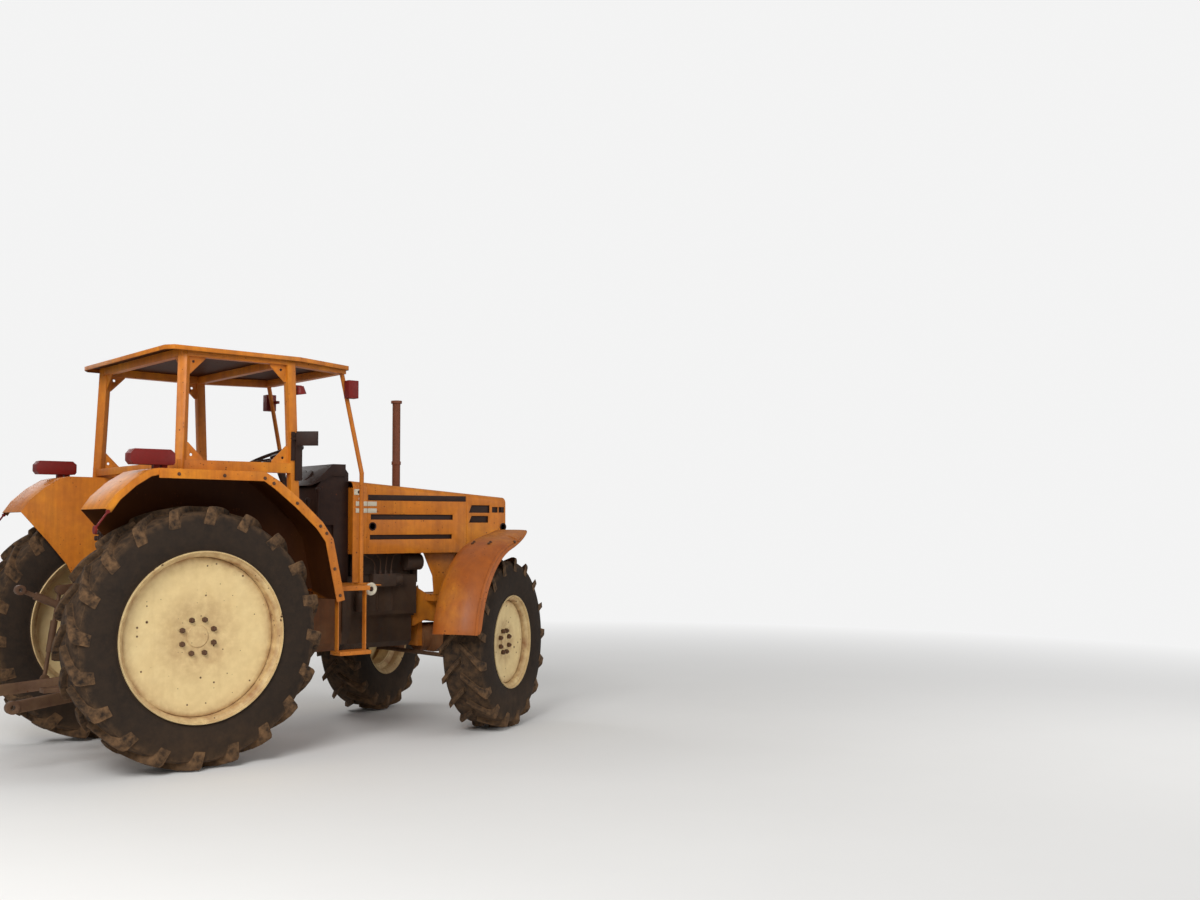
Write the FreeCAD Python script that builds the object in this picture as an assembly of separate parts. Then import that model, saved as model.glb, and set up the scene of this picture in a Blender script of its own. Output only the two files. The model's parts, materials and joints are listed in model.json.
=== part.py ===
import FreeCAD, Part
import math
import os

# Farm tractor with a four-post safety frame, steered front mudguards and a rear three-point linkage.
# Millimetres. X points forward, Y to the left, Z up. Lengths along X are counted from the rear axle.
# The finished pieces are shifted so that the origin is on the ground under the middle of the length
# and width.

# Wheels
WHEELBASE = 2195.0
REAR_TYRE_RADIUS = 778.0
REAR_TYRE_WIDTH = 345.0
REAR_TRACK = 1540.0
REAR_RIM_RADIUS = 508.0
REAR_RIM_WIDTH = 340.0
REAR_LUG_HEIGHT = 38.0
REAR_LUG_PAIRS = 20
REAR_DISC_INSET = 98.0
REAR_HUB_RADIUS = 125.0
FRONT_TYRE_RADIUS = 605.0
FRONT_TYRE_WIDTH = 315.0
FRONT_TRACK = 1450.0
FRONT_RIM_RADIUS = 330.0
FRONT_RIM_WIDTH = 290.0
FRONT_LUG_HEIGHT = 30.0
FRONT_LUG_PAIRS = 17
FRONT_DISC_INSET = 70.0
FRONT_HUB_RADIUS = 95.0
RIM_SHEET = 9.0
DISC_SHEET = 12.0
RIM_FLANGE_DEPTH = 26.0
RIM_WELL_DEPTH = 40.0

# Steering and the front axle
KINGPIN_Y = 560.0
STEER_AT_REST = 30.0
STEERING_ARM = 180.0
STEERING_ARM_Z = 500.0
TIE_ROD_RADIUS = 15.0
AXLE_BEAM_HALF_HEIGHT = 60.0
AXLE_BEAM_HALF_DEPTH = 60.0
YOKE_OPENING = 190.0
YOKE_ARM = 34.0
AXLE_PIN_RADIUS = 40.0
GUARD_CLEARANCE = 145.0
GUARD_OUTER_HALF = 200.0
GUARD_INNER_HALF = 150.0
GUARD_ARM_TURN = 20.0
GUARD_SKIRT = 70.0
GUARD_SHOULDER = 22.0
GUARD_SHOULDER_IN = 8.0
GUARD_SHELF_HALF = 30.0
GUARD_FRONT_TURN = 8.0
GUARD_REAR_TURN = 82.0
GUARD_TIP = 262.0

# Clearances
RUN_GAP = 0.3
SOFT_GAP = 0.3

# Sheet, posts and tubes
SHEET = 4.0
POST = 56.0
BEAM = 50.0
FRONT_TUBE = 30.0
GUSSET = 110.0

# Driver's platform and rear mudguards
PLATFORM_Z = 1040.0
HUMP_HALF_WIDTH = 215.0
PLATFORM_SHEET = 6.0
PLATFORM_BACK_X = -60.0
PLATFORM_FRONT_X = 1330.0
PLATFORM_HALF_WIDTH = 715.0
WING_INNER_Y = 556.0
WING_OUTER_Y = 955.0
WING_LIP = 40.0
WING_TOP_Z = 1768.0
WALL_FOOT_Z = 1020.0
SILL_TOP_Z = 1834.0
POST_Y = 690.0
STEP_REAR_X = 965.0
STEP_FRONT_X = 1195.0
STEP_OUTER_Y = PLATFORM_HALF_WIDTH + 85.0
CAP_X = 1233.0
CAP_Z = 1014.0
CAP_RADIUS = 42.0
CAP_DEPTH = 28.0

# Safety frame and roof
REAR_POST_X = -60.0
REAR_POST_TOP_X = -35.0
REAR_POST_TOP_Y = 662.0
MID_POST_FOOT_X = 690.0
MID_POST_TOP_X = 650.0
FRONT_POST_TOP_X = 1115.0
FRONT_POST_TOP_Y = 535.0
FRONT_POST_KNEE_X = 1265.0
FRONT_POST_KNEE_Y = 560.0
FRONT_POST_KNEE_Z = 1790.0
FRAME_REAR_Z = 2520.0
ROOF_FALL = 12.0
ROOF_REAR_X = -170.0
ROOF_CORNER_CUT = 40.0
ROOF_OVERHANG = 36.0
ROOF_HALF_WIDTH = 745.0
ROOF_FRONT_HALF_WIDTH = 575.0
ROOF_LIP = 30.0

# Bonnet
BONNET_REAR_X = 1444.0
NOSE_JOINT_X = WHEELBASE + 92.0
BONNET_FRONT_X = WHEELBASE + 455.0
BONNET_HALF_WIDTH = 333.0
BONNET_BOTTOM_Z = 1237.0
BONNET_REAR_Z = 1738.0
BONNET_FRONT_Z = 1647.0
BONNET_EDGE_RADIUS = 45.0
COWL_REAR_X = 1330.0
CONSOLE_REAR_X = 1085.0
CONSOLE_TOP_Z = 1840.0
CONSOLE_HALF_WIDTH = 270.0
RADIATOR_REAR_X = WHEELBASE + 260.0
HEADLAMP_Y = 205.0
HEADLAMP_Z = 1452.0
HEADLAMP_RADIUS = 76.0
EXHAUST_X = 1810.0
EXHAUST_Y = -120.0
EXHAUST_RADIUS = 29.0
EXHAUST_TOP_Z = 2352.0

# Drive line
CASE_HALF_WIDTH = 190.0
CASE_TOP_Z = 1000.0
CASE_BOTTOM_Z = 560.0
CASE_REAR_X = -260.0
AXLE_CASE_BOTTOM_Z = 520.0
LIFT_CASE_TOP_Z = 1150.0
ENGINE_REAR_X = 1330.0
ENGINE_FRONT_X = WHEELBASE - 235.0
SUMP_BOTTOM_Z = 560.0
SUMP_HALF_WIDTH = 130.0
TRUMPET_RADIUS = 105.0
TRUMPET_END_Y = 700.0
HUB_FLANGE = 24.0
SPINDLE_RADIUS = 45.0
SPINDLE_LENGTH = 140.0

# Three-point linkage
LINK_PIVOT_X = -60.0
LINK_PIVOT_Z = 470.0
LINK_LENGTH = 850.0
LINK_FALL = 70.0
LINK_FRONT_Y = 235.0
LINK_REAR_Y = 412.0
LINK_BAR = 24.0
LINK_DEPTH = 70.0
BALL_EYE_RADIUS = 38.0
LINK_PIN_RADIUS = 14.3
LIFT_SHAFT_X = -150.0
LIFT_SHAFT_Z = 1060.0
LIFT_ARM = 270.0
LIFT_ARM_Y = 290.0
LIFT_SHAFT_RADIUS = 34.0
TOP_LINK_Z = 860.0
TOP_LINK_X = -330.0

# Reach of the whole to the front and rear, and to each side with the front wheels turned
REAR_REACH = LINK_LENGTH - LINK_PIVOT_X + BALL_EYE_RADIUS
TURNED = math.radians(STEER_AT_REST)
FRONT_REACH = (
    WHEELBASE
    + (FRONT_TRACK / 2 - KINGPIN_Y + FRONT_TYRE_WIDTH * 0.45) * math.sin(TURNED)
    + FRONT_TYRE_RADIUS * math.cos(TURNED)
)
MIDDLE_X = (FRONT_REACH - REAR_REACH) / 2
KINGPIN_OFFSET = FRONT_TRACK / 2 - KINGPIN_Y
LUG_REACH = 0.474
RIGHT_REACH = (
    KINGPIN_Y
    + (KINGPIN_OFFSET + GUARD_OUTER_HALF - GUARD_SHOULDER_IN) * math.cos(TURNED)
    + (FRONT_TYRE_RADIUS + GUARD_CLEARANCE - GUARD_SHOULDER)
    * math.sin(math.radians(GUARD_REAR_TURN))
    * math.sin(TURNED)
)
LEFT_REACH = (
    KINGPIN_Y
    + (KINGPIN_OFFSET + FRONT_TYRE_WIDTH * LUG_REACH) * math.cos(TURNED)
    + FRONT_TYRE_RADIUS * math.sin(TURNED)
)
MIDDLE_Y = (LEFT_REACH - RIGHT_REACH) / 2

X_AXIS = FreeCAD.Vector(1, 0, 0)
Y_AXIS = FreeCAD.Vector(0, 1, 0)
Z_AXIS = FreeCAD.Vector(0, 0, 1)

os.makedirs("parts", exist_ok=True)


def vec(x, y, z):
    """Point or direction from three numbers."""
    return FreeCAD.Vector(x, y, z)


def block(x0, x1, y0, y1, z0, z1):
    """Box between two corners."""
    return Part.makeBox(x1 - x0, y1 - y0, z1 - z0, vec(x0, y0, z0))


def rod(start, end, radius):
    """Round bar between two points."""
    along = end - start
    return Part.makeCylinder(radius, along.Length, start, along)


def tube(start, end, radius, wall):
    """Round tube between two points."""
    return rod(start, end, radius).cut(rod(start, end, radius - wall))


def outline_face(corners):
    """Flat face inside a ring of corners."""
    return Part.Face(Part.makePolygon(corners + corners[:1]))


def plate_xz(points, y0, y1):
    """Outline of (x, z) points, extruded from y0 to y1."""
    return outline_face([vec(x, y0, z) for x, z in points]).extrude(vec(0, y1 - y0, 0))


def plate_yz(points, x0, x1):
    """Outline of (y, z) points, extruded from x0 to x1."""
    return outline_face([vec(x0, y, z) for y, z in points]).extrude(vec(x1 - x0, 0, 0))


def plate_xy(points, z0, z1):
    """Outline of (x, y) points, extruded from z0 to z1."""
    return outline_face([vec(x, y, z0) for x, y in points]).extrude(vec(0, 0, z1 - z0))


def beam(start, end, across, deep):
    """Bar of oblong section from start to end: across is level, deep is at right angles to it."""
    along = end - start
    way = vec(along.x, along.y, along.z).normalize()
    level = Z_AXIS.cross(way)
    if level.Length < 0.01:
        level = vec(0, 1, 0)
    level.normalize()
    up = way.cross(level).normalize()
    corners = []
    for i, j in ((-1, -1), (1, -1), (1, 1), (-1, 1)):
        corners.append(start + level * (i * across / 2) + up * (j * deep / 2))
    return outline_face(corners).extrude(along)


def ring(profile, centre):
    """Revolves an outline of (radius, y) points about a wheel's axle through its centre."""
    corners = [centre + vec(radius, y, 0) for radius, y in profile]
    return outline_face(corners).revolve(centre, Y_AXIS, 360)


def flat_sided_ring(profile, centre, sides):
    """Closed ring of flat sides through (radius, y) points, about a wheel's axle."""
    rows = []
    for i in range(sides):
        angle = 2 * math.pi * i / sides
        rows.append([centre + vec(r * math.sin(angle), y, r * math.cos(angle)) for r, y in profile])
    faces = []
    for i in range(sides):
        here, there = rows[i], rows[(i + 1) % sides]
        for k in range(len(profile)):
            m = (k + 1) % len(profile)
            faces.append(outline_face([here[k], here[m], there[m], there[k]]))
    solid = Part.Solid(Part.Shell(faces))
    if solid.Volume < 0:
        solid.reverse()
    return solid


def fused(pieces):
    """Joins touching pieces into one solid with its seams removed."""
    whole = pieces[0].multiFuse(pieces[1:]) if len(pieces) > 1 else pieces[0]
    return whole.removeSplitter()


def mirrored(shape):
    """Copy on the other side of the tractor's middle plane."""
    return shape.mirror(vec(0, 0, 0), Y_AXIS)


def both_sides(shape):
    """The piece and its copy on the other side, as solids that don't touch."""
    return Part.makeCompound([shape, mirrored(shape)])


def pairs(*pieces):
    """Several pieces and their copies on the other side, as one compound."""
    return Part.makeCompound(list(pieces) + [mirrored(piece) for piece in pieces])


def save(name, shape):
    """Writes one piece, shifted so that the middle of the whole is over the origin."""
    shape = shape.copy()
    shape.translate(vec(-MIDDLE_X, -MIDDLE_Y, 0))
    solids = shape.Solids
    if not solids or not all(s.isValid() for s in solids):
        raise ValueError(name + " is not a valid solid")
    result = solids[0] if len(solids) == 1 else Part.makeCompound(solids)
    result.exportStep("parts/" + name + ".step")


# Wheels, made for the right-hand side, where -Y is the outside


def tyre(centre, radius, width, bead_radius, bead_half, lug_height, lug_pairs):
    """Farm tyre: a carcass on its rim with a chevron of lugs."""
    crown = radius - lug_height
    half = width / 2
    flat_corner = 1 / math.cos(math.pi / lug_pairs)
    bead = (bead_radius + RUN_GAP) * flat_corner
    bulge = bead_radius + (crown - bead_radius) * 0.45
    shoulder = crown - lug_height * 0.9
    section = [
        (bead, -bead_half),
        (bulge, -half),
        (shoulder, -half * 0.94),
        (crown, -half * 0.6),
        (crown, half * 0.6),
        (shoulder, half * 0.94),
        (bulge, half),
        (bead, bead_half),
    ]
    carcass = flat_sided_ring(section, centre, lug_pairs)
    root = shoulder - lug_height * 0.4
    sweep = half * 0.5
    thick = lug_height * 0.6
    top = math.sqrt(radius**2 - (sweep + thick) ** 2)
    tip_turn = math.degrees(math.atan2(sweep + thick, top))
    lugs = []
    for side, phase in ((1, 0.0), (-1, 0.5)):
        inner = -side * half * 0.06
        outer = side * half * 0.97
        corners = [
            centre + vec(sweep - thick, inner, root),
            centre + vec(-sweep - thick, outer, root),
            centre + vec(-sweep + thick * 1.4, outer, root),
            centre + vec(sweep + thick, inner, root),
        ]
        lug = outline_face(corners).extrude(vec(0, 0, top - root))
        for i in range(lug_pairs):
            copy = lug.copy()
            copy.rotate(centre, Y_AXIS, (i + phase) * 360.0 / lug_pairs - tip_turn)
            lugs.append(copy)
    return fused([carcass] + lugs)


def rim(centre, radius, width, inset, hub_radius):
    """Rolled rim with its pressed wheel disc."""
    half = width / 2
    base = radius - RIM_FLANGE_DEPTH
    well = base - RIM_WELL_DEPTH
    band = ring(
        [
            (radius, -half),
            (base, -half + RIM_FLANGE_DEPTH),
            (base, half - RIM_FLANGE_DEPTH),
            (radius, half),
            (radius - RIM_SHEET, half),
            (base - RIM_SHEET, half - RIM_FLANGE_DEPTH),
            (well, half * 0.35),
            (well, -half * 0.35),
            (base - RIM_SHEET, -half + RIM_FLANGE_DEPTH),
            (radius - RIM_SHEET, -half),
        ],
        centre,
    )
    face_y = -half + inset
    plate = ring(
        [
            (0, face_y),
            (hub_radius, face_y),
            (base - RIM_SHEET - 30, face_y - 16),
            (base - RIM_SHEET + 2, face_y + 6),
            (base - RIM_SHEET + 2, face_y + 6 + DISC_SHEET),
            (base - RIM_SHEET - 32, face_y - 16 + DISC_SHEET),
            (hub_radius, face_y + DISC_SHEET),
            (0, face_y + DISC_SHEET),
        ],
        centre,
    )
    return fused([band, plate])


REAR_CENTRE = vec(0, -REAR_TRACK / 2, REAR_TYRE_RADIUS)
REAR_DISC_Y = REAR_CENTRE.y - REAR_RIM_WIDTH / 2 + REAR_DISC_INSET + DISC_SHEET
FRONT_CENTRE = vec(WHEELBASE, -FRONT_TRACK / 2, FRONT_TYRE_RADIUS)
FRONT_DISC_Y = FRONT_CENTRE.y - FRONT_RIM_WIDTH / 2 + FRONT_DISC_INSET + DISC_SHEET
KINGPIN = vec(WHEELBASE, -KINGPIN_Y, FRONT_TYRE_RADIUS)


def steered(shape, left=False):
    """The right-hand front piece, or its copy on the left, turned to where the wheels stand."""
    copy = mirrored(shape) if left else shape.copy()
    pin = vec(KINGPIN.x, KINGPIN_Y if left else -KINGPIN_Y, 0)
    copy.rotate(pin, Z_AXIS, STEER_AT_REST)
    return copy


def rear_hub():
    """Axle flange and spindle that the rear wheel disc is bolted to."""
    flange_y = REAR_DISC_Y + RUN_GAP
    end_y = -TRUMPET_END_Y
    height = REAR_CENTRE.z
    flange = rod(vec(0, REAR_DISC_Y, height), vec(0, REAR_DISC_Y + HUB_FLANGE, height), REAR_HUB_RADIUS)
    neck = rod(vec(0, flange_y, height), vec(0, end_y - RUN_GAP, height), SPINDLE_RADIUS + 20)
    spindle = rod(vec(0, flange_y, height), vec(0, end_y + SPINDLE_LENGTH, height), SPINDLE_RADIUS)
    return fused([flange, neck, spindle])


def front_hub():
    """Drum and flange between the knuckle and the front wheel disc."""
    inner_y = -KINGPIN_Y - 62
    axle = vec(WHEELBASE, 0, FRONT_TYRE_RADIUS)
    drum = rod(axle + vec(0, FRONT_DISC_Y, 0), axle + vec(0, inner_y - RUN_GAP, 0), FRONT_HUB_RADIUS)
    return drum


wheels = {
    "rear_tyre": tyre(
        REAR_CENTRE,
        REAR_TYRE_RADIUS,
        REAR_TYRE_WIDTH,
        REAR_RIM_RADIUS - RIM_FLANGE_DEPTH,
        REAR_RIM_WIDTH / 2 - RIM_FLANGE_DEPTH - RUN_GAP * 2,
        REAR_LUG_HEIGHT,
        REAR_LUG_PAIRS,
    ),
    "rear_rim": rim(REAR_CENTRE, REAR_RIM_RADIUS, REAR_RIM_WIDTH, REAR_DISC_INSET, REAR_HUB_RADIUS),
    "rear_hub": rear_hub(),
}
for name, shape in wheels.items():
    save(name + "_right", shape)
    save(name + "_left", mirrored(shape))


def knuckle():
    """Swivel housing between the axle's yoke and the hub, with its steering arm."""
    pin = KINGPIN
    body = rod(pin + vec(0, 0, -YOKE_OPENING / 2 + RUN_GAP), pin + vec(0, 0, YOKE_OPENING / 2 - RUN_GAP), 58)
    carrier = rod(pin + vec(0, 0, 0), pin + vec(0, -62, 0), 78)
    reach = pin + vec(-STEERING_ARM, 0, STEERING_ARM_Z - pin.z)
    arm = beam(pin + vec(-30, 0, STEERING_ARM_Z - pin.z + 34), reach + vec(0, 0, 34), 50, 24)
    eye = rod(reach + vec(0, 0, 22), reach + vec(0, 0, 46), 26)
    ball_pin = rod(reach + vec(0, 0, -14), reach + vec(0, 0, 22), 10)
    return fused([body, carrier, arm, eye, ball_pin])


def guard_arm():
    """Bent arm from the knuckle, with the shelf and spacers that the front mudguard is bolted to."""
    axle = FRONT_CENTRE
    arm_y = KINGPIN.y + 15
    foot = vec(WHEELBASE - 95, arm_y, axle.z + 20)
    inside = FRONT_TYRE_RADIUS + GUARD_CLEARANCE - SHEET - RUN_GAP
    seat = axle.z + math.sqrt(inside**2 - GUARD_SHELF_HALF**2)
    shelf_top = axle.z + FRONT_TYRE_RADIUS + GUARD_CLEARANCE - GUARD_SKIRT - 10
    rear, ahead = axle.x - GUARD_SHELF_HALF, axle.x + GUARD_SHELF_HALF
    shelf = block(rear, ahead, axle.y - 90, arm_y + 6, shelf_top - 12, shelf_top)
    spacers = [
        block(rear, ahead, axle.y + y, axle.y + y + 20, shelf_top - 2, seat) for y in (-85, 40)
    ]
    pieces = [shelf] + spacers
    for piece in pieces:
        piece.rotate(axle, Y_AXIS, -GUARD_ARM_TURN)
    turn = math.radians(GUARD_ARM_TURN)
    reach = shelf_top - 6 - axle.z
    top = vec(axle.x - reach * math.sin(turn), arm_y, axle.z + reach * math.cos(turn))
    upright = beam(foot, top, 12, 60)
    lug = block(foot.x - 32, foot.x + 55, KINGPIN.y, arm_y + 6, foot.z - 26, foot.z + 26)
    return fused(pieces + [upright, lug])


def front_guard():
    """Front mudguard: crowned sheet behind and over the tyre, drawn out to a point in front."""
    axle = FRONT_CENTRE
    outer = FRONT_TYRE_RADIUS + GUARD_CLEARANCE
    a, b = GUARD_OUTER_HALF, GUARD_INNER_HALF
    shoulder = outer - GUARD_SHOULDER
    side_out, side_in = a - GUARD_SHOULDER_IN, b - GUARD_SHOULDER_IN
    section = [
        (outer - GUARD_SKIRT, -a),
        (shoulder, -side_out),
        (outer, -a * 0.55),
        (outer, b * 0.55),
        (shoulder, side_in),
        (outer - GUARD_SKIRT, b),
        (outer - GUARD_SKIRT, b - SHEET),
        (shoulder - SHEET, side_in - SHEET),
        (outer - SHEET, b * 0.55 - SHEET / 2),
        (outer - SHEET, -a * 0.55 + SHEET / 2),
        (shoulder - SHEET, -side_out + SHEET),
        (outer - GUARD_SKIRT, -a + SHEET),
    ]
    face = outline_face([axle + vec(0, y, r) for r, y in section])
    face.rotate(axle, Y_AXIS, -GUARD_REAR_TURN)
    curved = face.revolve(axle, Y_AXIS, GUARD_REAR_TURN - GUARD_FRONT_TURN)
    front = outline_face([axle + vec(0, y, r) for r, y in section])
    front.rotate(axle, Y_AXIS, -GUARD_FRONT_TURN)
    turn = math.radians(GUARD_FRONT_TURN)
    ahead = vec(math.cos(turn), 0, math.sin(turn))
    straight = front.extrude(ahead * (GUARD_TIP + outer * math.sin(turn)))
    start = axle.x - outer * math.sin(turn) - 1
    cutter = plate_xz(
        [
            (start, axle.z + outer - GUARD_SKIRT - 60),
            (start, axle.z + outer - GUARD_SKIRT + 4),
            (axle.x + GUARD_TIP, axle.z + outer + 6),
            (axle.x + GUARD_TIP + 400, axle.z + outer + 6),
            (axle.x + GUARD_TIP + 400, axle.z + outer - GUARD_SKIRT - 60),
        ],
        axle.y - a - 1,
        axle.y + b + 1,
    )
    return fused([curved, straight.cut(cutter)])


front = {
    "front_tyre": tyre(
        FRONT_CENTRE,
        FRONT_TYRE_RADIUS,
        FRONT_TYRE_WIDTH,
        FRONT_RIM_RADIUS - RIM_FLANGE_DEPTH,
        FRONT_RIM_WIDTH / 2 - RIM_FLANGE_DEPTH - RUN_GAP * 2,
        FRONT_LUG_HEIGHT,
        FRONT_LUG_PAIRS,
    ),
    "front_rim": rim(FRONT_CENTRE, FRONT_RIM_RADIUS, FRONT_RIM_WIDTH, FRONT_DISC_INSET, FRONT_HUB_RADIUS),
    "front_hub": front_hub(),
    "knuckle": fused([knuckle(), guard_arm()]),
    "front_mudguard": front_guard(),
}
for name, shape in front.items():
    save(name + "_right", steered(shape))
    save(name + "_left", steered(shape, left=True))


def tie_rod():
    """Rod with an eye at each steering arm's ball pin."""
    turn = math.radians(STEER_AT_REST)
    back = vec(-STEERING_ARM * math.cos(turn), -STEERING_ARM * math.sin(turn), 0)
    centre = vec(WHEELBASE, 0, STEERING_ARM_Z)
    ends = [centre + back + vec(0, side * KINGPIN_Y, 0) for side in (-1, 1)]
    bar = rod(ends[0] + vec(0, 20, 0), ends[1] + vec(0, -20, 0), TIE_ROD_RADIUS)
    eyes = [rod(end + vec(0, 0, -17), end + vec(0, 0, 17), 25) for end in ends]
    holes = [rod(end + vec(0, 0, -18), end + vec(0, 0, 18), 10 + RUN_GAP) for end in ends]
    return fused([bar] + eyes).cut(Part.makeCompound(holes))


save("tie_rod", tie_rod())


# Front axle and its support


def front_axle():
    """Cast beam with a yoke at each end that holds the knuckle between two ears."""
    z = FRONT_TYRE_RADIUS
    half_open = YOKE_OPENING / 2
    beam_end = KINGPIN_Y - 100
    middle = plate_yz(
        [
            (-130, z - 105),
            (130, z - 105),
            (230, z - AXLE_BEAM_HALF_HEIGHT),
            (beam_end, z - AXLE_BEAM_HALF_HEIGHT),
            (beam_end, z + AXLE_BEAM_HALF_HEIGHT),
            (150, z + AXLE_BEAM_HALF_HEIGHT),
            (-150, z + AXLE_BEAM_HALF_HEIGHT),
            (-beam_end, z + AXLE_BEAM_HALF_HEIGHT),
            (-beam_end, z - AXLE_BEAM_HALF_HEIGHT),
            (-230, z - AXLE_BEAM_HALF_HEIGHT),
        ],
        WHEELBASE - AXLE_BEAM_HALF_DEPTH,
        WHEELBASE + AXLE_BEAM_HALF_DEPTH,
    )
    boss = rod(vec(WHEELBASE - 120, 0, z), vec(WHEELBASE + 110, 0, z), 105)
    bore = rod(vec(WHEELBASE - 121, 0, z), vec(WHEELBASE + 111, 0, z), AXLE_PIN_RADIUS + RUN_GAP)
    pieces = [middle, boss]
    for side in (-1, 1):
        pin = vec(WHEELBASE, side * KINGPIN_Y, z)
        for sign in (-1, 1):
            near = half_open if sign > 0 else -half_open - YOKE_ARM
            ear = rod(pin + vec(0, 0, near), pin + vec(0, 0, near + YOKE_ARM), 46)
            inner = side * beam_end - side * 30
            web = block(
                WHEELBASE - 42,
                WHEELBASE + 42,
                min(inner, pin.y),
                max(inner, pin.y),
                z + near,
                z + near + YOKE_ARM,
            )
            pieces += [ear, web]
        root_in = side * (beam_end - 30)
        root_out = side * (beam_end + 12)
        pieces.append(
            block(
                WHEELBASE - 42,
                WHEELBASE + 42,
                min(root_in, root_out),
                max(root_in, root_out),
                z - half_open - YOKE_ARM,
                z + half_open + YOKE_ARM,
            )
        )
    return fused(pieces).cut(bore)


# Front support: heights above the axle beam, lengths ahead of the axle
SUPPORT_RISE = 50.0
SUPPORT_HEIGHT = 215.0
SUPPORT_HALF_WIDTH = 125.0
CHEEK_Y = 232.0
CHEEK_SHEET = 12.0
HOOK_X = 366.0


def front_support():
    """Cast front frame between the engine and the axle's pivot, with cheeks up to the bonnet."""
    low = FRONT_TYRE_RADIUS + AXLE_BEAM_HALF_HEIGHT + SUPPORT_RISE
    top = low + SUPPORT_HEIGHT
    joint = ENGINE_FRONT_X
    toe = WHEELBASE + HOOK_X - 26
    tray = plate_xz(
        [
            (joint, low - 15),
            (joint + 120, low + 30),
            (WHEELBASE - 60, low + 8),
            (toe - 80, low + 8),
            (toe, low + 60),
            (toe, top - 30),
            (toe - 80, top),
            (joint + 120, top),
            (joint, top + 70),
        ],
        -SUPPORT_HALF_WIDTH,
        SUPPORT_HALF_WIDTH,
    )
    room = SUPPORT_HALF_WIDTH - 30
    pocket = block(joint + 220, toe - 100, -room, room, low + 60, top + 1)
    edge = BONNET_BOTTOM_Z - 1
    cheek_line = [
        (joint + 18, edge),
        (joint + 302, edge),
        (joint + 205, edge - 170),
        (joint + 190, top - 2),
        (joint + 110, top - 2),
        (joint + 98, edge - 170),
    ]
    cheek = plate_xz(cheek_line, -CHEEK_Y - CHEEK_SHEET / 2, -CHEEK_Y + CHEEK_SHEET / 2)
    cheek_foot = block(joint + 110, joint + 190, -CHEEK_Y, -SUPPORT_HALF_WIDTH + 5, top - 50, top)
    hanger_foot = FRONT_TYRE_RADIUS - 60
    rear_face = WHEELBASE - 120 - RUN_GAP
    front_face = WHEELBASE + 110 + RUN_GAP
    hanger_rear = block(rear_face - 40, rear_face, -70, 70, hanger_foot, low + 40)
    hanger_front = block(front_face, front_face + 40, -70, 70, hanger_foot, low + 20)
    pin_rear = vec(rear_face - 10, 0, FRONT_TYRE_RADIUS)
    pin_front = vec(front_face + 10, 0, FRONT_TYRE_RADIUS)
    pivot = rod(pin_rear, pin_front, AXLE_PIN_RADIUS)
    bearer_y = BONNET_HALF_WIDTH - SHEET - RUN_GAP
    x = RADIATOR_REAR_X - 75
    bonnet_bearer = block(x, x + 170, -bearer_y, bearer_y, BONNET_BOTTOM_Z - 30, BONNET_BOTTOM_Z - 8)
    bearer_tab = block(x + 10, x + 70, -bearer_y, -bearer_y + 6, BONNET_BOTTOM_Z - 10, BONNET_BOTTOM_Z + 40)
    bearer_post = block(x, x + 60, -60, 60, top - 40, BONNET_BOTTOM_Z - 20)
    hook = WHEELBASE + HOOK_X
    hook_plates = [block(hook - 36, hook + 26, -55, 55, low + z, low + z + 25) for z in (75, 140)]
    pin_hole = rod(vec(hook, 0, low + 60), vec(hook, 0, low + 180), 14)
    side = SUPPORT_HALF_WIDTH
    rib_places = (joint + 230, toe - 110)
    ribs = pairs(*[block(x, x + 14, -side - 22, -side + 2, low + 45, top - 20) for x in rib_places])
    pieces = [tray.cut(pocket), pairs(cheek, cheek_foot, bearer_tab), ribs, hanger_rear, hanger_front, pivot]
    body = fused(pieces + [bonnet_bearer, bearer_post] + hook_plates)
    return body.cut(pin_hole)


save("front_axle", front_axle())
save("front_support", front_support())


# Engine, gearbox and rear axle


CYLINDERS = 4
CYLINDER_PITCH = 125.0
HEAD_TOP_Z = 1400.0
PUMP_Y = -185.0
FAN_RADIUS = 190.0


CLEANER_X = 1885.0
CLEANER_Z = 1575.0
CLEANER_Y = 60.0


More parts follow.
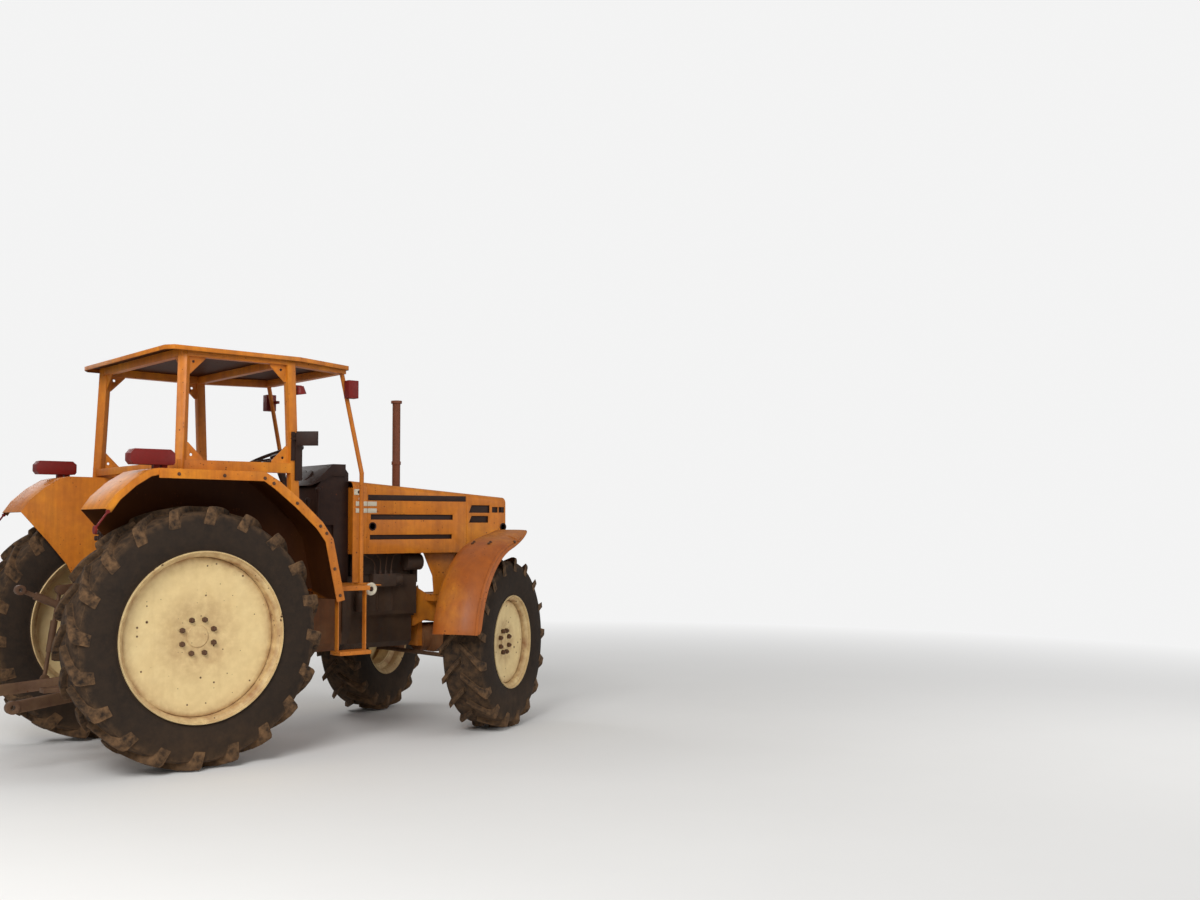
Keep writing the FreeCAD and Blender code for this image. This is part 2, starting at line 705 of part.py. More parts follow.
def engine():
    """Open engine: sump, crankcase, head with its covers, pump, filters, manifold, fan and starter."""
    sump = plate_yz(
        [
            (-SUMP_HALF_WIDTH, SUMP_BOTTOM_Z + 40),
            (-SUMP_HALF_WIDTH + 40, SUMP_BOTTOM_Z),
            (SUMP_HALF_WIDTH - 40, SUMP_BOTTOM_Z),
            (SUMP_HALF_WIDTH, SUMP_BOTTOM_Z + 40),
            (SUMP_HALF_WIDTH, 800),
            (-SUMP_HALF_WIDTH, 800),
        ],
        ENGINE_REAR_X + 60,
        ENGINE_FRONT_X - 20,
    )
    rail_half = SUMP_HALF_WIDTH + 18
    rail = block(ENGINE_REAR_X + 50, ENGINE_FRONT_X - 10, -rail_half, rail_half, 780, 798)
    case = block(ENGINE_REAR_X, ENGINE_FRONT_X, -165, 165, 795, 1080)
    rib_places = [ENGINE_REAR_X + x for x in (160, 290, 420)]
    case_ribs = [block(x, x + 12, -177, 177, 830, 1060) for x in rib_places]
    head = block(ENGINE_REAR_X + 40, ENGINE_FRONT_X - 40, -140, 140, 1070, HEAD_TOP_Z - 60)
    pieces = [sump, rail, case, head] + case_ribs
    first = ENGINE_REAR_X + 125
    for i in range(CYLINDERS):
        x = first + i * CYLINDER_PITCH
        pieces.append(block(x - 56, x + 56, -130, 130, HEAD_TOP_Z - 70, HEAD_TOP_Z))
        rocker = [(-85, HEAD_TOP_Z - 1), (-62, HEAD_TOP_Z + 80), (30, HEAD_TOP_Z + 80), (55, HEAD_TOP_Z - 1)]
        pieces.append(plate_yz(rocker, x - 48, x + 48))
        pieces.append(rod(vec(x, -138, 1320), vec(x, -162, 1320), 20))
        pieces.append(block(x - 26, x + 26, 120, 215, 1290, 1350))
    pieces.append(rod(vec(first - 60, 190, 1320), vec(first + 3 * CYLINDER_PITCH + 60, 190, 1320), 38))
    bell_left = [(200, 700), (200, 1030), (150, 1035)]
    bell_outline = [(140, 600)] + bell_left + [(-y, z) for y, z in reversed(bell_left)] + [(-140, 600)]
    bell = plate_yz(bell_outline, ENGINE_REAR_X, ENGINE_REAR_X + 70)
    pump = block(ENGINE_REAR_X + 230, ENGINE_REAR_X + 420, PUMP_Y - 45, -160, 1000, 1090)
    governor = rod(vec(ENGINE_REAR_X + 420, PUMP_Y - 5, 1045), vec(ENGINE_REAR_X + 475, PUMP_Y - 5, 1045), 46)
    outlets = []
    for i in range(CYLINDERS):
        x = ENGINE_REAR_X + 255 + 45 * i
        outlets.append(rod(vec(x, PUMP_Y - 20, 1085), vec(x, PUMP_Y - 20, 1118), 9))
    filters = []
    for x, y, z0, z1, radius in (
        (ENGINE_REAR_X + 110, PUMP_Y - 5, 1085, 1225, 42),
        (ENGINE_REAR_X + 150, PUMP_Y - 15, 830, 960, 46),
    ):
        filters.append(rod(vec(x, y, z0), vec(x, y, z1), radius))
        filters.append(block(x - 30, x + 30, y - 20, -120, z1 - 4, z1 + 26))
    starter = rod(vec(ENGINE_REAR_X + 50, 200, 860), vec(ENGINE_REAR_X + 210, 200, 860), 50)
    cover = block(ENGINE_FRONT_X - 10, ENGINE_FRONT_X + 28, -135, 135, 1020, 1240)
    hub = rod(vec(ENGINE_FRONT_X + 20, 0, 1260), vec(ENGINE_FRONT_X + 82, 0, 1260), 44)
    pulley = rod(vec(ENGINE_FRONT_X + 20, 0, 1110), vec(ENGINE_FRONT_X + 52, 0, 1110), 80)
    alternator = rod(vec(ENGINE_FRONT_X - 120, -190, 1170), vec(ENGINE_FRONT_X + 12, -190, 1170), 58)
    alternator_foot = block(ENGINE_FRONT_X - 90, ENGINE_FRONT_X - 40, -195, -130, 1150, 1190)
    blades = []
    for i in range(6):
        blade = block(ENGINE_FRONT_X + 56, ENGINE_FRONT_X + 61, -32, 32, 1260 + 30, 1260 + FAN_RADIUS)
        blade.rotate(vec(ENGINE_FRONT_X + 58, 0, 1260), Z_AXIS, 24)
        blade.rotate(vec(ENGINE_FRONT_X + 58, 0, 1260), X_AXIS, i * 60)
        blades.append(blade)
    neck = block(ENGINE_FRONT_X - 50, ENGINE_FRONT_X + 26, -60, 60, 1200, 1310)
    cleaner = rod(vec(CLEANER_X, CLEANER_Y, CLEANER_Z), vec(CLEANER_X + 440, CLEANER_Y, CLEANER_Z), 75)
    foot_y = CLEANER_Y - 45
    cleaner_foot = block(CLEANER_X + 20, CLEANER_X + 60, foot_y, foot_y + 90, HEAD_TOP_Z - 75, CLEANER_Z - 55)
    pieces += [bell, pump, governor, starter, cover, hub, pulley]
    pieces += [alternator, alternator_foot, neck, cleaner, cleaner_foot]
    return fused(pieces + outlets + filters + blades)


def gearbox():
    """Clutch housing and gearbox, from the engine to the rear axle."""
    half = CASE_HALF_WIDTH
    long_case = plate_yz(
        [
            (-half, CASE_BOTTOM_Z + 60),
            (-half + 60, CASE_BOTTOM_Z),
            (half - 60, CASE_BOTTOM_Z),
            (half, CASE_BOTTOM_Z + 60),
            (half, CASE_TOP_Z - 50),
            (half - 50, CASE_TOP_Z),
            (-half + 50, CASE_TOP_Z),
            (-half, CASE_TOP_Z - 50),
        ],
        230,
        ENGINE_REAR_X,
    )
    ribs = [
        block(x, x + 14, -half - 12, half + 12, CASE_BOTTOM_Z + 70, CASE_TOP_Z - 60)
        for x in (420, 640, 860, 1080, 1300)
    ]
    return fused([long_case] + ribs)


def rear_axle():
    """Rear axle case with its trumpets, bored for the hubs' spindles."""
    z = REAR_TYRE_RADIUS
    centre = plate_xz(
        [
            (CASE_REAR_X, 560),
            (CASE_REAR_X + 40, AXLE_CASE_BOTTOM_Z),
            (190, AXLE_CASE_BOTTOM_Z),
            (230, 560),
            (230, 1010),
            (190, 1080),
            (CASE_REAR_X + 60, 1080),
            (CASE_REAR_X, 1010),
        ],
        -215,
        215,
    )
    trumpets = []
    for side in (-1, 1):
        start = vec(0, side * 200, z)
        shape = Part.makeCone(165, TRUMPET_RADIUS, 240, start, vec(0, side, 0))
        pipe = rod(vec(0, side * 430, z), vec(0, side * TRUMPET_END_Y, z), TRUMPET_RADIUS)
        trumpets += [shape, pipe]
    bore_start = TRUMPET_END_Y - SPINDLE_LENGTH - 10
    bores = [
        rod(vec(0, side * bore_start, z), vec(0, side * (TRUMPET_END_Y + 1), z), SPINDLE_RADIUS + RUN_GAP)
        for side in (-1, 1)
    ]
    link_ears = [
        block(LINK_PIVOT_X - 40, LINK_PIVOT_X + 40, side * 185 - 20, side * 185 + 20, LINK_PIVOT_Z - 40, 560)
        for side in (-1, 1)
    ]
    link_pins = rod(
        vec(LINK_PIVOT_X, -LINK_FRONT_Y - 32, LINK_PIVOT_Z),
        vec(LINK_PIVOT_X, LINK_FRONT_Y + 32, LINK_PIVOT_Z),
        LINK_PIN_RADIUS,
    )
    shaft_ears = [
        block(LIFT_SHAFT_X - 60, LIFT_SHAFT_X + 60, side * 190 - 30, side * 190 + 30, 1060, LIFT_SHAFT_Z + 60)
        for side in (-1, 1)
    ]
    lift_case = block(-240, 200, -170, 170, 1070, LIFT_CASE_TOP_Z)
    body = fused([centre, lift_case] + trumpets + link_ears + shaft_ears + [link_pins])
    shaft_hole = rod(
        vec(LIFT_SHAFT_X, -230, LIFT_SHAFT_Z),
        vec(LIFT_SHAFT_X, 230, LIFT_SHAFT_Z),
        LIFT_SHAFT_RADIUS + RUN_GAP,
    )
    return body.cut(Part.makeCompound(bores + [shaft_hole]))


save("engine", engine())
save("gearbox", gearbox())


# Bonnet, nose and cowl


def bonnet_section(x, inset):
    """Bonnet's cross-section at a station, a face with rounded upper corners."""
    share = (x - BONNET_REAR_X) / (BONNET_FRONT_X - BONNET_REAR_X)
    top = BONNET_REAR_Z + (BONNET_FRONT_Z - BONNET_REAR_Z) * share - inset
    half = BONNET_HALF_WIDTH - inset
    bend = BONNET_EDGE_RADIUS - inset
    low = BONNET_BOTTOM_Z - (1 if inset else 0)
    crown = top + 12
    slant = bend * (1 - math.sqrt(0.5))
    corner_z = top - slant
    inward, bent = half - bend, half - slant
    left = Part.Arc(vec(x, half, top - bend), vec(x, bent, corner_z), vec(x, inward, top)).toShape()
    over = Part.Arc(vec(x, half - bend, top), vec(x, 0, crown), vec(x, -half + bend, top)).toShape()
    right = Part.Arc(vec(x, -inward, top), vec(x, -bent, corner_z), vec(x, -half, top - bend)).toShape()
    sides = [
        Part.LineSegment(vec(x, half, low), vec(x, half, top - bend)).toShape(),
        left,
        over,
        right,
        Part.LineSegment(vec(x, -half, top - bend), vec(x, -half, low)).toShape(),
        Part.LineSegment(vec(x, -half, low), vec(x, half, low)).toShape(),
    ]
    return Part.Wire(sides)


def bonnet_shell(x0, x1, wall=SHEET):
    """Length of the bonnet's sheet between two stations."""
    outer = Part.makeLoft([bonnet_section(x0, 0), bonnet_section(x1, 0)], True, True)
    inner = Part.makeLoft([bonnet_section(x0 - 1, wall), bonnet_section(x1 + 1, wall)], True, True)
    return outer.cut(inner)


# Openings in the bonnet's sides: rear x, front x, low z, high z, and how far the rear end leans
BONNET_SLOTS = (
    (1474.0, 2167.0, 1477.0, 1514.0, 0.0),
    (1468.0, 2158.0, 1337.0, 1370.0, 0.0),
)
NOSE_WINDOWS = (
    (2312.0, 2500.0, 1530.0, 1586.0, 24.0),
    (2312.0, 2487.0, 1456.0, 1506.0, 24.0),
    (2524.0, 2576.0, 1532.0, 1574.0, 0.0),
    (2586.0, 2636.0, 1532.0, 1574.0, 0.0),
)


def side_cutters(rows):
    """Solids that cut the same openings through both of the bonnet's sides."""
    cutters = []
    for x0, x1, z0, z1, lean in rows:
        corners = [(x0, z0), (x1, z0), (x1, z1), (x0 + lean, z1)]
        cutters.append(plate_xz(corners, -BONNET_HALF_WIDTH - 5, BONNET_HALF_WIDTH + 5))
    return Part.makeCompound(cutters)


def bonnet():
    """Bonnet's sheet with its side slots and the hole for the exhaust stack."""
    hole = rod(vec(EXHAUST_X, EXHAUST_Y, 1600), vec(EXHAUST_X, EXHAUST_Y, 1800), EXHAUST_RADIUS + 12)
    shell = bonnet_shell(BONNET_REAR_X, NOSE_JOINT_X - RUN_GAP)
    return shell.cut(side_cutters(BONNET_SLOTS)).cut(hole)


def nose():
    """Front length of the bonnet with its side windows."""
    shell = bonnet_shell(NOSE_JOINT_X, BONNET_FRONT_X)
    return shell.cut(side_cutters(NOSE_WINDOWS))


def grille():
    """Framed front grille with upright bars, set in the nose's mouth."""
    wall = SHEET + RUN_GAP
    back = BONNET_FRONT_X - 40
    top = BONNET_FRONT_Z - 20
    half = BONNET_HALF_WIDTH - wall
    corner = BONNET_EDGE_RADIUS * 0.55
    frame = plate_yz(
        [
            (-half, BONNET_BOTTOM_Z + 4),
            (half, BONNET_BOTTOM_Z + 4),
            (half, top - corner * 1.35),
            (half - corner, top),
            (-half + corner, top),
            (-half, top - corner * 1.35),
        ],
        back,
        BONNET_FRONT_X - 4,
    )
    opening = block(back - 1, BONNET_FRONT_X, -half + 30, half - 30, BONNET_BOTTOM_Z + 40, top - 40)
    bars = []
    count = 13
    for i in range(count):
        y = -half + 30 + (2 * half - 60) * (i + 0.5) / count
        bars.append(block(back + 8, BONNET_FRONT_X - 14, y - 5, y + 5, BONNET_BOTTOM_Z + 30, top - 30))
    rail = block(back + 6, BONNET_FRONT_X - 12, -half + 20, half - 20, 1440, 1456)
    lamp = vec(back + 2, -HEADLAMP_Y, HEADLAMP_Z)
    lamp_face = vec(BONNET_FRONT_X - 5, -HEADLAMP_Y, HEADLAMP_Z)
    bowls = pairs(rod(lamp, lamp_face, HEADLAMP_RADIUS))
    cups = pairs(rod(lamp + vec(14, 0, 0), lamp_face + vec(5, 0, 0), HEADLAMP_RADIUS - 7))
    return fused([frame.cut(opening), rail, bowls] + bars).cut(cups)


def radiator():
    """Radiator behind the grille, core between two tanks, on the front support."""
    back = RADIATOR_REAR_X
    core = block(back + 12, back + 73, -270, 270, BONNET_BOTTOM_Z + 60, 1540)
    tank_heights = ((BONNET_BOTTOM_Z - 8 + RUN_GAP, BONNET_BOTTOM_Z + 62), (1535, 1590))
    tanks = [block(back, back + 85, -285, 285, z0, z1) for z0, z1 in tank_heights]
    cheeks = pairs(block(back + 4, back + 81, -285, -262, BONNET_BOTTOM_Z + 40, 1560))
    filler = rod(vec(back + 42, 120, 1585), vec(back + 42, 120, 1625), 26)
    return fused([core, cheeks, filler] + tanks)


TANK_LENGTH = 400.0
TANK_HALF_WIDTH = 225.0


def cowl():
    """Painted cowl between the bonnet and the console, with the fuel tank's shape inside."""
    shell = bonnet_shell(COWL_REAR_X, BONNET_REAR_X - RUN_GAP)
    half = BONNET_HALF_WIDTH
    back = block(COWL_REAR_X, COWL_REAR_X + SHEET, -half + 3, half - 3, BONNET_BOTTOM_Z, 1700)
    skirt = pairs(block(COWL_REAR_X, BONNET_REAR_X - 40, -half, -half + SHEET, 1040, 1240))
    tank = block(COWL_REAR_X + 2, COWL_REAR_X + TANK_LENGTH, -TANK_HALF_WIDTH, TANK_HALF_WIDTH, 1500, 1690)
    return fused([shell, back, skirt, tank])


def console():
    """Dark console with the instrument panel, over the clutch housing."""
    front = COWL_REAR_X - RUN_GAP
    floor = PLATFORM_Z + RUN_GAP
    outline = [
        (CONSOLE_REAR_X + 60, floor),
        (front, floor),
        (front, 1800),
        (1300, CONSOLE_TOP_Z),
        (1190, CONSOLE_TOP_Z),
        (CONSOLE_REAR_X, 1700),
        (CONSOLE_REAR_X, 1440),
        (CONSOLE_REAR_X + 60, 1320),
    ]
    body = plate_xz(outline, -CONSOLE_HALF_WIDTH, CONSOLE_HALF_WIDTH)
    brow = CONSOLE_TOP_Z + 22
    hood = plate_xz(
        [(CONSOLE_REAR_X - 45, 1712), (1200, brow), (1300, brow), (1300, 1780), (1200, 1780)],
        -CONSOLE_HALF_WIDTH - 14,
        CONSOLE_HALF_WIDTH + 14,
    )
    dial_way = vec(-(CONSOLE_TOP_Z - 1700), 0, 1190 - CONSOLE_REAR_X).normalize()
    middle = vec((CONSOLE_REAR_X + 1190) / 2, 0, (1700 + CONSOLE_TOP_Z) / 2)
    dial_rows = [middle + vec(0, y, 0) for y in (-82, 0, 82)]
    dials = [rod(spot - dial_way * 30, spot + dial_way * 34, 46) for spot in dial_rows]
    bay_y = -CONSOLE_HALF_WIDTH - 1
    bay = block(CONSOLE_REAR_X + 50, CONSOLE_REAR_X + 130, bay_y, bay_y + 27, 1330, 1440)
    return fused([body.cut(bay), hood] + dials)


save("bonnet", bonnet())
save("bonnet_nose", nose())
save("grille", grille())
save("radiator", radiator())
save("cowl", cowl())


def exhaust():
    """Upright exhaust stack with a small rolled rim, on a flange on the cylinder head."""
    base = HEAD_TOP_Z + RUN_GAP
    foot = vec(EXHAUST_X, EXHAUST_Y, base)
    top = vec(EXHAUST_X, EXHAUST_Y, EXHAUST_TOP_Z)
    stack = tube(foot, top, EXHAUST_RADIUS, 2.5)
    lip = tube(top - vec(0, 0, 20), top, EXHAUST_RADIUS + 11, 12)
    clamp = tube(foot + vec(0, 0, 480), foot + vec(0, 0, 505), EXHAUST_RADIUS + 5, 6)
    flange = tube(foot, foot + vec(0, 0, 14), EXHAUST_RADIUS + 4, 6)
    return fused([stack, lip, clamp, flange])


save("exhaust_stack", exhaust())


# Driver's platform, mudguards, safety frame and roof

# Rear mudguard's upper outline from back to front, x and z
WING_LINE = (
    (-600.0, 1530.0),
    (-548.0, 1606.0),
    (-452.0, 1693.0),
    (-354.0, 1755.0),
    (-296.0, 1768.0),
    (362.0, 1762.0),
    (462.0, 1705.0),
    (610.0, 1588.0),
    (756.0, 1455.0),
    (832.0, 1350.0),
    (918.0, 962.0),
)


def wing_top(x):
    """Height of the rear mudguard's flat top at a station."""
    (x0, z0), (x1, z1) = WING_LINE[4], WING_LINE[5]
    return z0 + (z1 - z0) * max(0.0, x - x0) / (x1 - x0)


def lowered(line, drop):
    """The outline moved inwards by a wall, square to each of its stretches."""
    normals = []
    for (x0, z0), (x1, z1) in zip(line, line[1:]):
        length = math.hypot(x1 - x0, z1 - z0)
        normals.append(((z1 - z0) / length, -(x1 - x0) / length))
    result = []
    for i, (x, z) in enumerate(line):
        before = normals[max(i - 1, 0)]
        after = normals[min(i, len(normals) - 1)]
        scale = drop / (1 + before[0] * after[0] + before[1] * after[1])
        result.append((x + (before[0] + after[0]) * scale, z + (before[1] + after[1]) * scale))
    return result


def wing():
    """Right-hand rear mudguard: bent top sheet, inner wall and turned-down outer lip."""
    under = lowered(WING_LINE, SHEET)
    lip_line = lowered(WING_LINE, WING_LIP)
    top = plate_xz(list(WING_LINE) + under[::-1], -WING_OUTER_Y, -WING_INNER_Y)
    lip = plate_xz(list(WING_LINE) + lip_line[::-1], -WING_OUTER_Y, -WING_OUTER_Y + SHEET)
    foot = (WING_LINE[-1][0], WING_LINE[-1][1])
    front_foot = (foot[0] - SHEET, foot[1])
    outline = list(WING_LINE) + [front_foot, (-200.0, foot[1]), (-300.0, 1180.0), (-430.0, 1340.0)]
    wall = plate_xz(outline, -WING_INNER_Y - SHEET, -WING_INNER_Y)
    below = block(-900, foot[0] - SHEET - 1, -WING_INNER_Y - SHEET - 1, -WING_INNER_Y + 1, 900, WALL_FOOT_Z)
    return fused([top, lip, wall.cut(below)])


def platform():
    """Driver's floor on both sides of the gearbox, with its bearers."""
    inner = WING_INNER_Y - RUN_GAP
    wing_x = WING_LINE[-1][0] + RUN_GAP
    floor = plate_xy(
        [
            (PLATFORM_BACK_X, -inner),
            (wing_x, -inner),
            (wing_x, -PLATFORM_HALF_WIDTH),
            (PLATFORM_FRONT_X, -PLATFORM_HALF_WIDTH),
            (PLATFORM_FRONT_X, PLATFORM_HALF_WIDTH),
            (wing_x, PLATFORM_HALF_WIDTH),
            (wing_x, inner),
            (PLATFORM_BACK_X, inner),
        ],
        PLATFORM_Z - PLATFORM_SHEET,
        PLATFORM_Z,
    )
    hump = block(-260, 1140, -HUMP_HALF_WIDTH, HUMP_HALF_WIDTH, PLATFORM_Z - 30, PLATFORM_Z + 10)
    reach = PLATFORM_HALF_WIDTH - 30
    under = PLATFORM_Z - PLATFORM_SHEET
    bearers = [block(x, x + 50, -reach, reach, CASE_TOP_Z, under) for x in (940.0, 1230.0)]
    return fused([floor.cut(hump)] + bearers)


def step():
    """Right-hand step plate with the lower tread hung from it."""
    tread = block(STEP_REAR_X, STEP_FRONT_X, -STEP_OUTER_Y, -PLATFORM_HALF_WIDTH, PLATFORM_Z - 30, PLATFORM_Z)
    legs = [
        block(x, x + 8, -STEP_OUTER_Y + 30, -STEP_OUTER_Y + 70, 610, PLATFORM_Z - 20)
        for x in (STEP_REAR_X + 10, STEP_FRONT_X - 18)
    ]
    low = block(STEP_REAR_X, STEP_FRONT_X, -STEP_OUTER_Y - 20, -STEP_OUTER_Y + 110, 595, 620)
    edge = vec(CAP_X, -PLATFORM_HALF_WIDTH, CAP_Z)
    stub = rod(edge + vec(0, 40, 0), edge - vec(0, 2, 0), 14)
    cap = rod(edge, edge - vec(0, CAP_DEPTH, 0), CAP_RADIUS)
    return fused([tread, low, stub, cap] + legs)


def frame_top(x):
    """Height of the roof frame's upper face at a station."""
    share = (x - REAR_POST_TOP_X) / (FRONT_POST_TOP_X - REAR_POST_TOP_X)
    return FRAME_REAR_Z - ROOF_FALL * share


def front_post():
    """Thin right-hand front post of bent tube, from the roof down to the platform."""
    top = vec(FRONT_POST_TOP_X, -FRONT_POST_TOP_Y, frame_top(FRONT_POST_TOP_X) - BEAM / 2)
    knee = vec(FRONT_POST_KNEE_X, -FRONT_POST_KNEE_Y, FRONT_POST_KNEE_Z)
    foot = vec(FRONT_POST_KNEE_X, -FRONT_POST_KNEE_Y, PLATFORM_Z + RUN_GAP)
    lower = rod(foot, knee, FRONT_TUBE / 2)
    upper = rod(knee, top, FRONT_TUBE / 2)
    bend = Part.makeSphere(FRONT_TUBE / 2 + 1, knee)
    pad = block(foot.x - 35, foot.x + 35, foot.y - 25, foot.y + 35, foot.z, foot.z + 8)
    return fused([lower, upper, bend, pad])


RAIL_LAP = 10.0


def rail_points():
    """Middle line of the right-hand roof beam: its rear end, its bend and its front end."""
    rear_x = REAR_POST_TOP_X - 28
    front_x = FRONT_POST_TOP_X + 18
    rear = vec(rear_x, -REAR_POST_TOP_Y, frame_top(rear_x) - BEAM / 2)
    middle = vec(MID_POST_TOP_X, -POST_Y, frame_top(MID_POST_TOP_X) - BEAM / 2)
    front = vec(front_x, -FRONT_POST_TOP_Y + 6, frame_top(front_x) - BEAM / 2)
    return rear, middle, front


def above_frame():
    """Room over the roof frame's sloping top."""
    x0, x1 = ROOF_REAR_X, FRONT_POST_TOP_X + ROOF_OVERHANG
    z0, z1 = frame_top(x0), frame_top(x1)
    outline = [(x0, z0), (x1, z1), (x1, z1 + POST), (x0, z0 + POST)]
    return plate_xz(outline, -ROOF_HALF_WIDTH, ROOF_HALF_WIDTH)


def side_frame():
    """Right-hand side of the four-post frame with its sill, roof beam and corner gussets."""
    y = -POST_Y
    sill_z = SILL_TOP_Z - 32
    rear_foot = vec(REAR_POST_X, y, wing_top(REAR_POST_X) - 8)
    rear_top = vec(REAR_POST_TOP_X, -REAR_POST_TOP_Y, frame_top(REAR_POST_TOP_X) - 4)
    mid_foot = vec(MID_POST_FOOT_X, y, 1600)
    mid_top = vec(MID_POST_TOP_X, y, frame_top(MID_POST_TOP_X) - 4)
    beam_rear, beam_mid, beam_front = rail_points()
    pieces = [
        beam(rear_foot, rear_top, POST, POST),
        beam(mid_foot, mid_top, POST, POST),
        beam(vec(REAR_POST_X - 28, y, sill_z), vec(MID_POST_FOOT_X, y, sill_z), POST, 64),
        beam(beam_rear, beam_mid + vec(RAIL_LAP, 0, 0), POST, BEAM),
        beam(beam_mid - vec(RAIL_LAP, 0, 0), beam_front, POST, BEAM),
    ]
    under = frame_top(MID_POST_TOP_X) - BEAM + 2
    corners = (
        (MID_POST_TOP_X - 24, -1, under, -1, 0),
        (REAR_POST_TOP_X + 24, 1, under + 10, -1, REAR_POST_TOP_Y - POST_Y),
        (REAR_POST_X + 30, 1, SILL_TOP_Z - 1, 1, 0),
        (MID_POST_FOOT_X - 46, -1, SILL_TOP_Z - 1, 1, 0),
    )
    gussets = []
    for x, way, z, rise, shift in corners:
        mid = y - shift
        outline = [
            (x - way * 8, z),
            (x + way * GUSSET, z),
            (x + way * GUSSET, z + rise * 14),
            (x + way * 14, z + rise * GUSSET),
            (x - way * 8, z + rise * GUSSET),
        ]
        hole = rod(vec(x + way * 34, mid - 5, z + rise * 34), vec(x + way * 34, mid + 5, z + rise * 34), 9)
        gussets.append(plate_xz(outline, mid - 3, mid + 3).cut(hole))
    back, ahead = REAR_POST_X - POST, REAR_POST_X + POST
    lid_back, lid_ahead = wing_top(back) + RUN_GAP, wing_top(ahead) + RUN_GAP
    under_foot = [(back, lid_back), (ahead, lid_ahead), (ahead, lid_ahead - POST), (back, lid_back - POST)]
    wing_top_room = plate_xz(under_foot, -WING_OUTER_Y, -WING_INNER_Y)
    frame = fused(pieces + gussets).cut(above_frame()).cut(wing_top_room)
    return fused([frame, front_post()])


def crossbars():
    """Four bars bolted across between the side frames: three under the roof, one at the rear sill."""
    rail_rear, rail_bend, rail_front = rail_points()
    sill_z = SILL_TOP_Z - 32
    sill = vec(REAR_POST_X, -POST_Y, sill_z)
    spots = (rail_rear + vec(28, 0, 0), rail_bend, rail_front - vec(18, 0, 0), sill)
    bars = [beam(spot, vec(spot.x, -spot.y, spot.z), BEAM, BEAM - 2) for spot in spots]
    rear_under = frame_top(REAR_POST_TOP_X) - BEAM + 2
    inner = -REAR_POST_TOP_Y + POST / 2 - 8
    gusset = [(inner, rear_under), (inner + GUSSET, rear_under), (inner, rear_under - GUSSET)]
    bars.append(pairs(plate_yz(gusset, REAR_POST_TOP_X - 3, REAR_POST_TOP_X + 3)))
    wide = POST + 2 * RUN_GAP
    lap = vec(RAIL_LAP, 0, 0)
    runs = [(rail_rear, rail_bend + lap), (rail_bend - lap, rail_front)]
    runs.append((sill, sill + vec(POST, 0, 0)))
    post_foot = vec(REAR_POST_X, -POST_Y, wing_top(REAR_POST_X) - 8)
    post_top = vec(REAR_POST_TOP_X, -REAR_POST_TOP_Y, frame_top(REAR_POST_TOP_X) - 4)
    room = [beam(post_foot, post_top, wide, wide)]
    for start, end in runs:
        more = (end - start).normalize() * POST
        room.append(beam(start - more, end + more, wide, BEAM * 2))
    return fused(bars).cut(above_frame()).cut(pairs(*room))


def roof_band(below):
    """Slab along the roof's slope, from some way under the sheet up to its top."""
    x0, x1 = ROOF_REAR_X - 1, FRONT_POST_TOP_X + ROOF_OVERHANG * 2
    z0, z1 = frame_top(x0) + RUN_GAP, frame_top(x1) + RUN_GAP
    outline = [(x0, z0 - below), (x1, z1 - below), (x1, z1 + SHEET), (x0, z0 + SHEET)]
    return plate_xz(outline, -ROOF_HALF_WIDTH, ROOF_HALF_WIDTH)


def roof():
    """Roof sheet with turned-down edges, cut at the rear corners and narrower at the windscreen."""
    cut = ROOF_CORNER_CUT
    columns = []
    bend_x = MID_POST_TOP_X + POST
    for inset in (0.0, SHEET):
        half = ROOF_HALF_WIDTH - inset
        rear = ROOF_REAR_X + inset
        corner = half - cut * 1.5 + inset * 0.6
        side_x = ROOF_REAR_X + cut + inset * 0.4
        front = FRONT_POST_TOP_X + ROOF_OVERHANG - inset
        front_half = ROOF_FRONT_HALF_WIDTH - inset
        side = [(rear, -corner), (side_x, -half), (bend_x, -half), (front, -front_half)]
        outline = side + [(x, -y) for x, y in reversed(side)]
        columns.append(plate_xy(outline, FRAME_REAR_Z - 2 * ROOF_FALL - 100, FRAME_REAR_Z + 100))
    sheet = columns[0].common(roof_band(0))
    lips = columns[0].cut(columns[1]).common(roof_band(ROOF_LIP - SHEET))
    return fused([sheet, lips])


save("rear_mudguard_right", wing())
save("rear_mudguard_left", mirrored(wing()))
save("platform", fused([platform(), both_sides(step())]))
save("safety_frame", both_sides(side_frame()))
save("frame_crossbars", crossbars())
save("roof", roof())


# Seat, steering wheel, levers and lamps


SEAT_RISE = 420.0
SEAT_BACK_TOP_Z = 1905.0


def seat_base():
    """Seat's pedestal, pan and the upright plate behind the back."""
    top = PLATFORM_Z + SEAT_RISE
    pan = block(120, 500, -190, 190, top - 16, top)
    pedestal = block(140, 320, -110, 110, LIFT_CASE_TOP_Z + RUN_GAP, top - 10)
    plate = plate_xz([(118, top - 16), (128, top - 16), (60, 1820), (50, 1820)], -150, 150)
    return fused([pan, pedestal, plate])


def seat_cushion():
    """Driver's seat cushion."""
    z = PLATFORM_Z + SEAT_RISE + SOFT_GAP
    return block(190, 540, -225, 225, z, z + 95)


def seat_back():
    """Upright cushion, its rear face along the plate that carries it."""
    low = PLATFORM_Z + 520
    gap = 10 + SOFT_GAP
    lean = (118.0 - 50.0) / (1820.0 - (PLATFORM_Z + SEAT_RISE - 16))
    rear_low = 118.0 + gap - (low - PLATFORM_Z - SEAT_RISE + 16) * lean
    rear_top = 118.0 + gap - (SEAT_BACK_TOP_Z - PLATFORM_Z - SEAT_RISE + 16) * lean
    high = SEAT_BACK_TOP_Z
    outline = [(rear_low, low), (rear_low + 90, low), (rear_top + 80, high), (rear_top, high)]
    return plate_xz(outline, -205, 205)


STEERING_CENTRE = vec(905.0, 0.0, 1917.0)
STEERING_TILT = 22.0
STEERING_RADIUS = 195.0
STEERING_GRIP = 13.0


